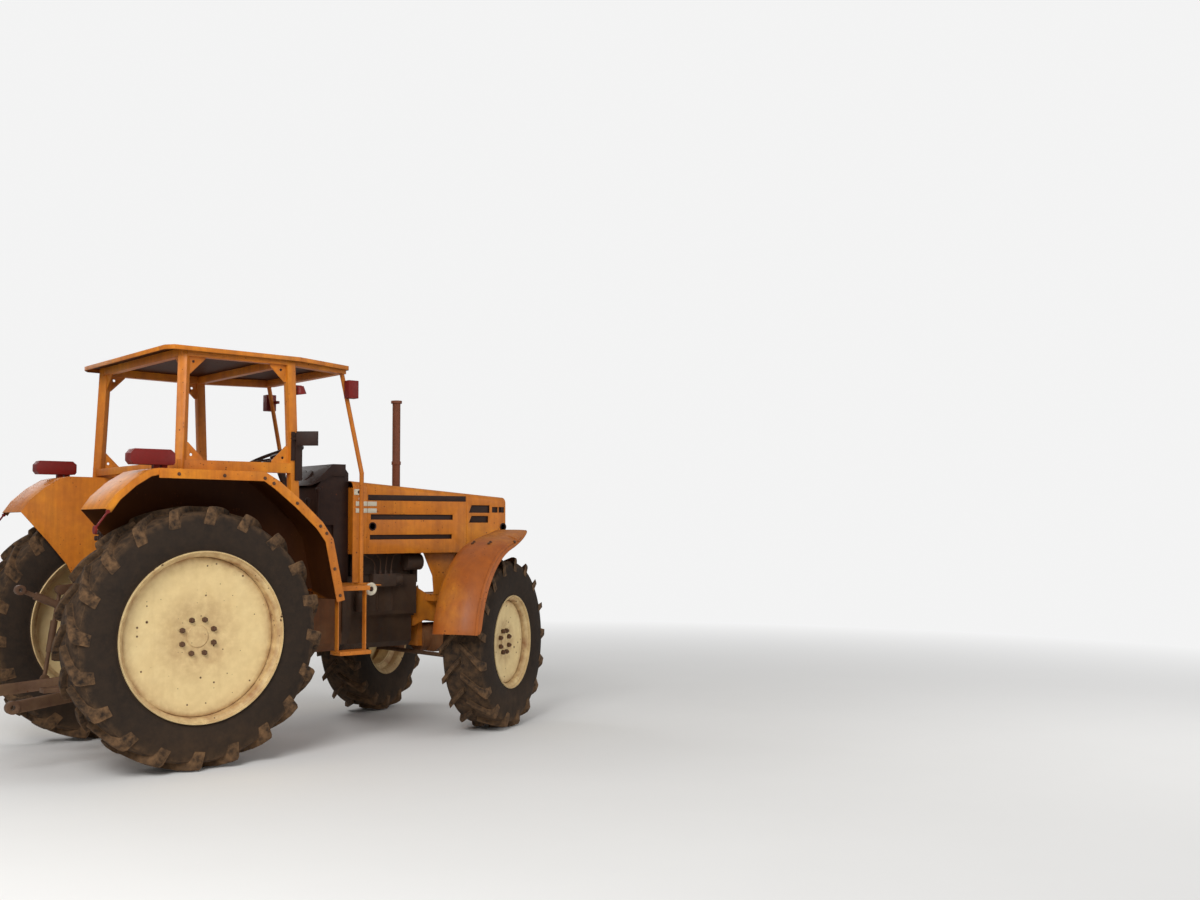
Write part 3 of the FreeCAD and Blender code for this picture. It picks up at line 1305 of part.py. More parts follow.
def steering_axis():
    """Direction from the console up through the steering wheel's middle."""
    turn = math.radians(STEERING_TILT)
    return vec(-math.sin(turn), 0, math.cos(turn))


def steering_rim():
    """Hexagonal-section grip of flat-sided lengths, laid round the steering axis."""
    section = []
    for i in range(6):
        a = math.radians(60 * i)
        section.append((STEERING_RADIUS + STEERING_GRIP * math.cos(a), STEERING_GRIP * math.sin(a)))
    grip = flat_sided_ring(section, vec(0, 0, 0), 32)
    grip.rotate(vec(0, 0, 0), X_AXIS, 90)
    grip.rotate(vec(0, 0, 0), Y_AXIS, -STEERING_TILT)
    grip.translate(STEERING_CENTRE)
    return grip


def steering_wheel():
    """Rim on three spokes about a small hub, tilted towards the driver."""
    axis = steering_axis()
    grip = steering_rim()
    hub = rod(STEERING_CENTRE - axis * 40, STEERING_CENTRE + axis * 12, 34)
    spokes = []
    across_way = vec(0, 1, 0)
    ahead = across_way.cross(axis)
    for angle in (90, 210, 330):
        a = math.radians(angle)
        way = across_way * math.cos(a) + ahead * math.sin(a)
        start = STEERING_CENTRE - axis * 14 + way * 20
        spokes.append(rod(start, STEERING_CENTRE + way * (STEERING_RADIUS - 4), 8))
    return fused([grip, hub] + spokes)


def steering_column():
    """Round column between the console and the steering wheel."""
    axis = steering_axis()
    top = STEERING_CENTRE - axis * (40 + RUN_GAP)
    return rod(top, top - axis * 470, 24)


save("seat_base", seat_base())
save("seat_cushion", seat_cushion())
save("seat_back", seat_back())
save("steering_wheel", steering_wheel())
save("console", fused([console(), steering_column()]))


# Three-point linkage, drawbar and lamps


def lower_link():
    """Right-hand lower link: forged bar with an eye at each end."""
    front = vec(LINK_PIVOT_X, -LINK_FRONT_Y, LINK_PIVOT_Z)
    rear = vec(LINK_PIVOT_X - LINK_LENGTH, -LINK_REAR_Y, LINK_PIVOT_Z - LINK_FALL)
    bar = beam(front + vec(-20, -2, 0), rear + vec(24, 4, 0), LINK_BAR, LINK_DEPTH)
    eye_front = rod(front + vec(0, -16, 0), front + vec(0, 16, 0), BALL_EYE_RADIUS)
    eye_rear = rod(rear + vec(0, -22, 0), rear + vec(0, 22, 0), BALL_EYE_RADIUS)
    hole_front = rod(front + vec(0, -40, 0), front + vec(0, 40, 0), LINK_PIN_RADIUS + RUN_GAP)
    hole_rear = rod(rear + vec(0, -40, 0), rear + vec(0, 40, 0), LINK_PIN_RADIUS)
    return fused([bar, eye_front, eye_rear]).cut(Part.makeCompound([hole_front, hole_rear]))


def lift_arms():
    """Cross shaft with a lift arm at each end."""
    shaft_end = LIFT_ARM_Y + 20
    near, far = vec(LIFT_SHAFT_X, -shaft_end, LIFT_SHAFT_Z), vec(LIFT_SHAFT_X, shaft_end, LIFT_SHAFT_Z)
    shaft = rod(near, far, LIFT_SHAFT_RADIUS)
    arms = []
    for side in (-1, 1):
        root = vec(LIFT_SHAFT_X, side * LIFT_ARM_Y, LIFT_SHAFT_Z)
        tip = root + vec(-LIFT_ARM, 0, -30)
        arms.append(rod(root + vec(0, -22, 0), root + vec(0, 22, 0), 52))
        arms.append(beam(root, tip, 24, 60))
        arms.append(rod(tip + vec(0, -14, 0), tip + vec(0, 14, 0), 32))
        arms.append(rod(tip + vec(0, min(0, side * 60), 0), tip + vec(0, max(0, side * 60), 0), 12))
    return fused([shaft] + arms)


def lift_rod():
    """Right-hand lift rod with its turnbuckle."""
    top = vec(LIFT_SHAFT_X - LIFT_ARM, -LIFT_ARM_Y - 40, LIFT_SHAFT_Z - 30)
    low = vec(LINK_PIVOT_X - 430, -LINK_FRONT_Y - 124, LINK_PIVOT_Z - 5)
    bar = rod(top + vec(0, 0, -20), low + vec(0, 0, 26), 13)
    sleeve = rod(top + (low - top) * 0.35, top + (low - top) * 0.7, 22)
    eye_top = rod(top + vec(0, -14, 0), top + vec(0, 14, 0), 28)
    hole = rod(top + vec(0, -20, 0), top + vec(0, 20, 0), 12 + RUN_GAP)
    fork = rod(low + vec(0, -12, 0), low + vec(0, 12, 0), 28)
    return fused([bar, sleeve, eye_top, fork]).cut(hole)


def top_link():
    """Top link with its turnbuckle, resting against the rear."""
    front = vec(TOP_LINK_X, 0, TOP_LINK_Z)
    rear = front + vec(-430, 0, 190)
    bar = rod(front, rear, 14)
    sleeve = rod(front + (rear - front) * 0.2, front + (rear - front) * 0.8, 24)
    eyes = [rod(end + vec(0, -24, 0), end + vec(0, 24, 0), 30) for end in (front, rear)]
    holes = [
        rod(front + vec(0, -30, 0), front + vec(0, 30, 0), 12.7 + RUN_GAP),
        rod(rear + vec(0, -30, 0), rear + vec(0, 30, 0), 12.7),
    ]
    return fused([bar, sleeve] + eyes).cut(Part.makeCompound(holes))


def top_link_bracket():
    """Ears and pin on the case that the top link swings on."""
    ears = [
        block(TOP_LINK_X - 40, CASE_REAR_X, y0, y1, TOP_LINK_Z - 60, TOP_LINK_Z + 60)
        for y0, y1 in ((-42, -26), (26, 42))
    ]
    pin = rod(vec(TOP_LINK_X, -50, TOP_LINK_Z), vec(TOP_LINK_X, 50, TOP_LINK_Z), 12.7)
    pad = block(CASE_REAR_X - 16, CASE_REAR_X + 4, -80, 80, TOP_LINK_Z - 80, TOP_LINK_Z + 80)
    return fused(ears + [pin, pad])


def drawbar():
    """Swinging drawbar's frame and bar under the rear axle, with the pin's hole."""
    under = AXLE_CASE_BOTTOM_Z - RUN_GAP
    bar = block(-620, 60, -40, 40, 420, 450)
    frame = block(-200, -130, -190, 190, 400, 420)
    hangers = pairs(block(-200, -130, -190, -170, 400, under))
    front = block(0, 60, -60, 60, 448, under)
    hole = rod(vec(-585, 0, 400), vec(-585, 0, 460), 15)
    return fused([bar, frame, hangers, front]).cut(hole)


save("lower_links", both_sides(lower_link()))
save("lift_arms", lift_arms())
save("lift_rods", both_sides(lift_rod()))
save("top_link", top_link())
save("rear_axle", fused([rear_axle(), top_link_bracket()]))
save("drawbar", drawbar())


LAMP_FRONT_X = -172.0
LAMP_LENGTH = 262.0
LAMP_Y = 838.0
LAMP_HALF_WIDTH = 46.0
MARKER_DROP = 170.0


def tail_lamp():
    """Right-hand tail lamp: long rounded housing on two feet, on the mudguard's flat top."""
    x0, x1 = LAMP_FRONT_X - LAMP_LENGTH, LAMP_FRONT_X
    foot = wing_top(x0) + RUN_GAP
    low, high = foot + 22, foot + 112
    body = plate_xz(
        [
            (x0 + 18, low),
            (x1 - 10, low),
            (x1, low + 14),
            (x1, high - 22),
            (x1 - 26, high),
            (x0 + 22, high),
            (x0, high - 26),
            (x0, low + 22),
        ],
        -LAMP_Y - LAMP_HALF_WIDTH,
        -LAMP_Y + LAMP_HALF_WIDTH,
    )
    feet = [block(x, x + 34, -LAMP_Y - 20, -LAMP_Y + 20, foot, low + 2) for x in (x1 - 70, x1 - 116)]
    return fused([body] + feet)


def marker_lamp():
    """Right-hand marker lamp on a short arm from the front post."""
    z = FRAME_REAR_Z - MARKER_DROP
    top_z = frame_top(FRONT_POST_TOP_X) - BEAM / 2
    lean = (FRONT_POST_KNEE_X - FRONT_POST_TOP_X) / (top_z - FRONT_POST_KNEE_Z)
    post_x = FRONT_POST_TOP_X + (top_z - z) * lean
    edge = post_x + FRONT_TUBE / 2 * math.hypot(1, lean) + 10 * lean + RUN_GAP
    arm = block(edge, edge + 24, -FRONT_POST_TOP_Y - 60, -FRONT_POST_TOP_Y + 40, z - 10, z + 10)
    lamp = block(edge - 42, edge + 34, -FRONT_POST_TOP_Y - 96, -FRONT_POST_TOP_Y - 34, z - 60, z + 60)
    return fused([arm, lamp])


def horn_lamp():
    """Small work lamp hung from the right-hand middle post."""
    z = FRAME_REAR_Z - 200
    lean = (MID_POST_FOOT_X - MID_POST_TOP_X) / (frame_top(MID_POST_TOP_X) - 1600)
    edge = MID_POST_TOP_X + (frame_top(MID_POST_TOP_X) - z) * lean + POST / 2 - 6 * lean + RUN_GAP
    stem = block(edge, edge + 52, -POST_Y - 8, -POST_Y + 8, z + 6, z + 20)
    bowl = Part.makeCone(24, 36, 52, vec(edge + 42, -POST_Y, z + 14), vec(0.15, 0, -1))
    return fused([stem, bowl])


def mirror():
    """Driver's mirror on its arm from the right-hand middle post, turned outwards."""
    face = -POST_Y - POST / 2 - RUN_GAP * 2
    bracket = block(655, 679, face - 8, face, 1850, 2035)
    start = vec(667, face - 4, 1990)
    arm = beam(start, vec(686, face - 46, 1990), 12, 16)
    glass = block(0, 138, -9, 9, -46, 46)
    glass.rotate(vec(0, 0, 0), Z_AXIS, -42)
    glass.translate(vec(676, face - 34, 1990))
    return fused([bracket, arm, glass])


# Levers on the floor: foot x and y, bend x and z, top x, y and z
LEVERS = (
    (1035.0, -150.0, 1030.0, 1240.0, 930.0, -190.0, 1405.0),
    (1035.0, -60.0, 1030.0, 1240.0, 950.0, -60.0, 1380.0),
    (1005.0, -310.0, 1010.0, 1340.0, 985.0, -330.0, 1600.0),
    (1045.0, -330.0, 1060.0, 1380.0, 1050.0, -352.0, 1670.0),
)
# Pedals: middle y and width
PEDALS = ((255.0, 70.0), (-250.0, 60.0), (-335.0, 46.0))


def controls():
    """Gear and hand levers with their knobs, and the pedals, each on a pad on the floor."""
    floor = PLATFORM_Z + RUN_GAP
    solids = []
    for x, y, bend_x, bend_z, top_x, top_y, top_z in LEVERS:
        seat = floor if abs(y) > HUMP_HALF_WIDTH else CASE_TOP_Z + RUN_GAP
        foot, bend, top = vec(x, y, seat), vec(bend_x, y, bend_z), vec(top_x, top_y, top_z)
        pad = Part.makeCone(34, 14, 60, foot, Z_AXIS)
        stretch = (top - bend).normalize()
        knob = Part.makeCone(13, 19, 26, top - stretch * 14, stretch)
        cap = Part.makeCone(19, 9, 12, top + stretch * 12, stretch)
        stem = [rod(foot, bend, 8), Part.makeSphere(9, bend), rod(bend, top, 8)]
        solids.append(fused([pad, knob, cap] + stem))
    for y, width in PEDALS:
        foot = block(985, 1045, y - 14, y + 14, floor, floor + 12)
        stem = beam(vec(1020, y, floor + 6), vec(960, y, floor + 130), 12, 16)
        plate = beam(vec(945, y, floor + 92), vec(962, y, floor + 165), width, 8)
        solids.append(fused([foot, stem, plate]))
    return Part.makeCompound(solids)


def valve_block():
    """Hydraulic valve block with its couplers, on a bracket behind the seat."""
    base = LIFT_CASE_TOP_Z + RUN_GAP
    side = [(-215, base), (-120, base), (-120, base + 12), (-200, base + 30), (-236, 1430), (-248, 1430)]
    plate = plate_xz(side, -250, -90)
    body = block(-330, -240, -245, -95, 1340, 1418)
    couplers = [rod(vec(-326, y, z), vec(-362, y, z), 15) for y in (-215, -170, -125) for z in (1360, 1398)]
    bar = block(-262, -242, -320, -60, 1424, 1438)
    return fused([plate, body, bar] + couplers)


def reflector():
    """Reflector on a thin rod from the rear mudguard's tail."""
    x0, z0 = WING_LINE[0]
    foot = vec(x0 + 12, -WING_OUTER_Y - 7 - RUN_GAP, z0 - 16)
    tip = foot + vec(-70, 0, -96)
    bar = rod(foot, tip, 6)
    disc = rod(tip + vec(6, 0, -6), tip + vec(-6, 0, -6), 24)
    boss = rod(foot + vec(0, 7, 0), foot + vec(0, -7, 0), 11)
    return fused([bar, disc, boss])


save("tail_lamps", Part.makeCompound([both_sides(tail_lamp()), both_sides(reflector())]))
save("marker_lamps", Part.makeCompound([both_sides(marker_lamp()), horn_lamp()]))
save("mirror", mirror())
save("controls", controls())
save("valve_block", valve_block())
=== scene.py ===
"""Farm tractor: wheels, sheet metal, cab, engine and finishes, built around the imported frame."""

import json
import logging
import math
from dataclasses import dataclass, replace
from enum import Enum
from functools import cache
from typing import Callable, Sequence

import bmesh
import bpy
from mathutils import Matrix, Vector

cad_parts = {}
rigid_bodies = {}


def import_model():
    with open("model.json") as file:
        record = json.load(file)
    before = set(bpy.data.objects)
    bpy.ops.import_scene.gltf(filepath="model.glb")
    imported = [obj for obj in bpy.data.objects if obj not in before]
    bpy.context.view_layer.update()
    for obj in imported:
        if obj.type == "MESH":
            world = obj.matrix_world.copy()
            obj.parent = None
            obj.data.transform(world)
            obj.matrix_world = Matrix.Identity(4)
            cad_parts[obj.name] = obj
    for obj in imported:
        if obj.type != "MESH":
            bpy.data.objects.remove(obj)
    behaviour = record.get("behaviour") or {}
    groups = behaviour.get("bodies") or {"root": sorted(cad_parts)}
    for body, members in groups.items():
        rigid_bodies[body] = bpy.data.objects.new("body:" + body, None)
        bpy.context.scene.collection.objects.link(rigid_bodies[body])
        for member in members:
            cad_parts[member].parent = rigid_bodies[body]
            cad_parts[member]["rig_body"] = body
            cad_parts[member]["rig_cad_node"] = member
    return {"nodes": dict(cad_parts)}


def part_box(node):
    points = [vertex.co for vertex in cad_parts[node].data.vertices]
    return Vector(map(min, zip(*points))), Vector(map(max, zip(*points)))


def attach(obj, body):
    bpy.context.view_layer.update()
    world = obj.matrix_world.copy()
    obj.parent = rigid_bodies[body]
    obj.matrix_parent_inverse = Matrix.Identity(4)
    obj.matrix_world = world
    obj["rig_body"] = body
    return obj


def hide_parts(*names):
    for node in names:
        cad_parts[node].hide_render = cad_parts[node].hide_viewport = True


LOG = logging.getLogger("farm_tractor")
Piece = bpy.types.Object
Socket = bpy.types.NodeSocket
Tree = bpy.types.NodeTree
Colour = tuple[float, float, float]
Point = tuple[float, float, float]
Pair = tuple[float, float]
Triple = tuple[float, float, float]
Rect = tuple[float, float, float, float]  # rear end, front end, lower edge, upper edge
Inputs = dict[str | int, object]

MIRROR = Matrix.Diagonal((1, -1, 1, 1))
SMOOTH_UNDER = math.radians(38)
DOUBLES = 1e-5
SENSOR = 36.0


class Side(Enum):
    """Side of the tractor, seen from the driver's seat."""

    RIGHT = -1
    LEFT = 1

    @property
    def word(self) -> str:
        """Ending of the names on this side."""
        return self.name.lower()

    def place(self, spot: Vector, made_for: "Side", turn: float = 0.0) -> Matrix:
        """Place on this side for a piece, mirrored if it was made for the other side.

        Args:
            spot: Where the piece's origin goes.
            made_for: The side that the piece was made for.
            turn: Turn about the upright axis.

        Returns:
            The place.
        """
        place = Matrix.Translation(spot) @ Matrix.Rotation(turn, 4, "Z")
        return place if self is made_for else place @ MIRROR


class Frame:
    """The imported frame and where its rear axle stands."""

    def __init__(self) -> None:
        """Loads the frame and finds the rear axle."""
        self.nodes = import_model()["nodes"]
        corners = [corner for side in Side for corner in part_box(f"rear_rim_{side.word}")]
        self.axle = sum(corners, Vector()) / len(corners)

    def at(self, x: float, y: float, z: float) -> Vector:
        """Point with x counted forward from the rear axle and z from the ground."""
        return Vector((x + self.axle.x, y + self.axle.y, z))

    def body(self, node: str) -> str:
        """Name of the body that a node rides on."""
        return self.nodes[node]["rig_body"]

    def wheel(self, end: str, side: Side, steer: float) -> Matrix:
        """Place of a wheel, for what is made for the right-hand side.

        Args:
            end: The wheel's end, front or rear.
            side: The wheel's side.
            steer: How far it is turned in the frame.

        Returns:
            The place.
        """
        low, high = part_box(f"{end}_rim_{side.word}")
        return side.place((low + high) / 2, Side.RIGHT, steer)


def clear() -> None:
    """Leaves edit mode with nothing selected."""
    if bpy.context.mode != "OBJECT":
        bpy.ops.object.mode_set(mode="OBJECT")
    bpy.ops.object.select_all(action="DESELECT")


def only(piece: Piece) -> None:
    """Selects one piece and makes it active.

    Args:
        piece: The piece to select.
    """
    clear()
    piece.select_set(True)
    bpy.context.view_layer.objects.active = piece


def named(name: str) -> Piece:
    """Names the piece that was just added, and its mesh.

    Args:
        name: The name.

    Returns:
        The piece.
    """
    piece = bpy.context.active_object
    piece.name = piece.data.name = name
    return piece


def settled(name: str, size: Vector | None = None) -> Piece:
    """Names the piece that was just added and moves its size and place into its mesh.

    Args:
        name: The name.
        size: What to scale it by, if anything.

    Returns:
        The piece.
    """
    piece = named(name)
    if size is not None:
        bpy.ops.transform.resize(value=size)
    only(piece)
    bpy.ops.object.transform_apply(location=True, rotation=True, scale=True)
    return piece


def edit(piece: Piece, kind: str = "VERT") -> None:
    """Opens a piece in edit mode with all of it selected.

    Args:
        piece: The piece to shape.
        kind: Selection mode, VERT, EDGE or FACE.
    """
    only(piece)
    bpy.ops.object.mode_set(mode="EDIT")
    bpy.ops.mesh.select_mode(type=kind)
    bpy.ops.mesh.select_all(action="SELECT")


def choose(piece: Piece, numbers: Sequence[int]) -> bmesh.types.BMesh:
    """Selects the numbered vertices of a piece in edit mode, and nothing else.

    Args:
        piece: The piece in edit mode.
        numbers: Numbers of the vertices.

    Returns:
        The mesh in edit mode.
    """
    bpy.ops.mesh.select_all(action="DESELECT")
    mesh = bmesh.from_edit_mesh(piece.data)
    mesh.verts.ensure_lookup_table()
    for number in numbers:
        mesh.verts[number].select_set(True)
    mesh.select_flush_mode()
    bmesh.update_edit_mesh(piece.data)
    return mesh


def carry(piece: Piece, first: int, places: Sequence[Vector]) -> None:
    """Moves vertices of a piece in edit mode, one at a time, to their places.

    Args:
        piece: The piece in edit mode.
        first: Number of the first vertex.
        places: Where that one and the next ones go.
    """
    for number, place in enumerate(places, first):
        mesh = choose(piece, [number])
        bpy.ops.transform.translate(value=place - mesh.verts[number].co)


def done() -> None:
    """Merges doubles, turns the faces outwards and leaves edit mode."""
    bpy.ops.mesh.select_all(action="SELECT")
    bpy.ops.mesh.remove_doubles(threshold=DOUBLES)
    bpy.ops.mesh.normals_make_consistent(inside=False)
    bpy.ops.object.mode_set(mode="OBJECT")


def soil(piece: Piece, measure: Callable[[Vector], float]) -> None:
    """Notes on every vertex how much dirt, painted shade and painted highlight go there, for the finishes to
    read.

    Args:
        piece: The piece to mark.
        measure: Gives the mark from 0 to 1 at a place.
    """
    marks = piece.data.attributes.new("soil", "FLOAT", "POINT")
    for point, mark in zip(piece.data.vertices, marks.data):
        mark.value = measure(point.co)


def modify(piece: Piece, kind: str, **settings: object) -> None:
    """Adds a modifier and applies it.

    Args:
        piece: The piece to finish.
        kind: Blender's name of the modifier's type.
        **settings: Values set on the modifier.
    """
    only(piece)
    modifier = piece.modifiers.new(kind.title(), kind)
    for key, value in settings.items():
        setattr(modifier, key, value)
    bpy.ops.object.modifier_apply(modifier=modifier.name)


def soften(piece: Piece, width: float = 0.0, angle: float = 35.0) -> None:
    """Rounds a piece's sharp edges and smooths its shading.

    Args:
        piece: The piece to finish.
        width: Width of the rounded edges, 0 for none.
        angle: Degrees from which an edge counts as sharp.
    """
    if width > 0:
        limit = math.radians(angle)
        modify(piece, "BEVEL", width=width, segments=2, limit_method="ANGLE", angle_limit=limit)
    only(piece)
    bpy.ops.object.shade_smooth_by_angle(angle=SMOOTH_UNDER)


def block(name: str, low: Vector, high: Vector, bevel: float) -> Piece:
    """Oblong piece with rounded edges between two corners.

    Args:
        name: The piece's name.
        low: Lowest corner.
        high: Highest corner.
        bevel: Width of the rounded edges.

    Returns:
        The new piece.
    """
    clear()
    bpy.ops.mesh.primitive_cube_add(size=1.0, location=(low + high) / 2)
    piece = settled(name, high - low)
    soften(piece, bevel)
    return piece


def bar(name: str, start: Vector, end: Vector, radius: float, sides: int, bevel: float) -> Piece:
    """Round or many-sided bar with rounded ends between two points.

    Args:
        name: The piece's name.
        start: Middle of one end.
        end: Middle of the other end.
        radius: The bar's radius.
        sides: Faces around it.
        bevel: Width of the rounded ends.

    Returns:
        The new piece.
    """
    clear()
    along = end - start
    turn = along.to_track_quat("Z", "Y").to_euler()
    bpy.ops.mesh.primitive_cylinder_add(
        vertices=sides, radius=radius, depth=along.length, location=(start + end) / 2, rotation=turn
    )
    piece = settled(name)
    soften(piece, bevel, 50)
    return piece


def turned(name: str, outline: Sequence[Pair], steps: int) -> Piece:
    """Closed outline of (radius, along) points spun about the Y axis.

    Args:
        name: The piece's name.
        outline: Points of the section, without the first one repeated.
        steps: Steps of the turn.

    Returns:
        The new piece.
    """
    clear()
    corners = [Vector((radius, along, 0.0)) for radius, along in outline]
    bpy.ops.mesh.primitive_plane_add(size=0.001, location=corners[0])
    piece = settled(name)
    edit(piece)
    bpy.ops.mesh.merge(type="CENTER")
    for here, there in zip(corners, corners[1:] + corners[:1]):
        bpy.ops.mesh.extrude_region_move(TRANSFORM_OT_translate={"value": there - here})
    bpy.ops.mesh.select_all(action="SELECT")
    bpy.ops.mesh.remove_doubles(threshold=DOUBLES / 10)
    bpy.ops.mesh.select_all(action="SELECT")
    bpy.ops.mesh.spin(steps=steps, angle=math.tau, center=(0, 0, 0), axis=(0, 1, 0))
    done()
    return piece


def swept(name: str, sections: Sequence[Sequence[Vector]], closed: bool = True) -> Piece:
    """Form drawn by extruding one cross-section through the places of the next ones.

    Args:
        name: The piece's name.
        sections: Cross-sections with the same number of points.
        closed: True for a solid form, False for an open strip of sheet.

    Returns:
        The new piece.
    """
    clear()
    count = len(sections[0])
    if closed:
        bpy.ops.mesh.primitive_circle_add(vertices=count, radius=1.0, fill_type="NGON")
    else:
        bpy.ops.mesh.primitive_plane_add(size=1.0)
    piece = named(name)
    edit(piece)
    if not closed:
        bpy.ops.mesh.merge(type="CENTER")
        for _ in range(count - 1):
            bpy.ops.mesh.extrude_region_move(TRANSFORM_OT_translate={"value": (0.01, 0, 0)})
    carry(piece, 0, sections[0])
    for section in sections[1:]:
        total = len(bmesh.from_edit_mesh(piece.data).verts)
        choose(piece, range(total - count, total))
        bpy.ops.mesh.extrude_region_move(TRANSFORM_OT_translate={"value": (0, 0, 0)})
        carry(piece, total, section)
    done()
    return piece


def tube(name: str, points: Sequence[Vector], radius: float) -> Piece:
    """Bent round bar along a smooth path.

    Args:
        name: The piece's name.
        points: Points that the path is drawn to.
        radius: The bar's radius.

    Returns:
        The new piece as a mesh.
    """
    clear()
    bpy.ops.curve.primitive_nurbs_path_add(location=(0, 0, 0))
    curve = named(name).data
    curve.splines.clear()
    spline = curve.splines.new("NURBS")
    spline.points.add(len(points) - 1)
    for point, place in zip(spline.points, points):
        point.co = (*place, 1.0)
    spline.use_endpoint_u = True
    spline.order_u = 3
    spline.resolution_u = 5
    curve.dimensions = "3D"
    curve.bevel_depth = radius
    curve.bevel_resolution = 4
    curve.use_fill_caps = True
    bpy.ops.object.convert(target="MESH")
    piece = bpy.context.active_object
    edit(piece)
    done()
    soften(piece)
    return piece


def placed(piece: Piece, place: Matrix) -> Piece:
    """Moves a piece's mesh to a place; its faces stay outwards when it is mirrored.

    Args:
        piece: The piece to move.
        place: Where it goes, from where it is.

    Returns:
        The same piece.
    """
    piece.data.transform(place)
    if place.is_negative:
        piece.data.flip_normals()
    return piece


def twin(piece: Piece, name: str, place: Matrix) -> Piece:
    """Copy of a piece, with a mesh of its own, at another place.

    Args:
        piece: The piece to copy.
        name: The copy's name.
        place: Where the copy goes, from where the piece is.

    Returns:
        The copy.
    """
    copy = piece.copy()
    copy.data = piece.data.copy()
    copy.name = copy.data.name = name
    bpy.context.scene.collection.objects.link(copy)
    return placed(copy, place)


def joined(name: str, pieces: Sequence[Piece]) -> Piece:
    """Joins several meshes to one piece.

    Args:
        name: Name of the piece they become.
        pieces: The meshes.

    Returns:
        The one piece.
    """
    clear()
    for piece in pieces:
        piece.select_set(True)
    bpy.context.view_layer.objects.active = pieces[0]
    if len(pieces) > 1:
        bpy.ops.object.join()
    return named(name)


def pattern(name: str, master: Piece, places: Sequence[Matrix]) -> Piece:
    """Copies of a master at several places, joined, with the master removed.

    Args:
        name: Name of the piece that the copies become.
        master: The piece that is repeated.
        places: Where each copy goes.

    Returns:
        The joined copies.
    """
    made = [twin(master, f"{name}_{i}", place) for i, place in enumerate(places)]
    bpy.data.objects.remove(master)
    return joined(name, made)


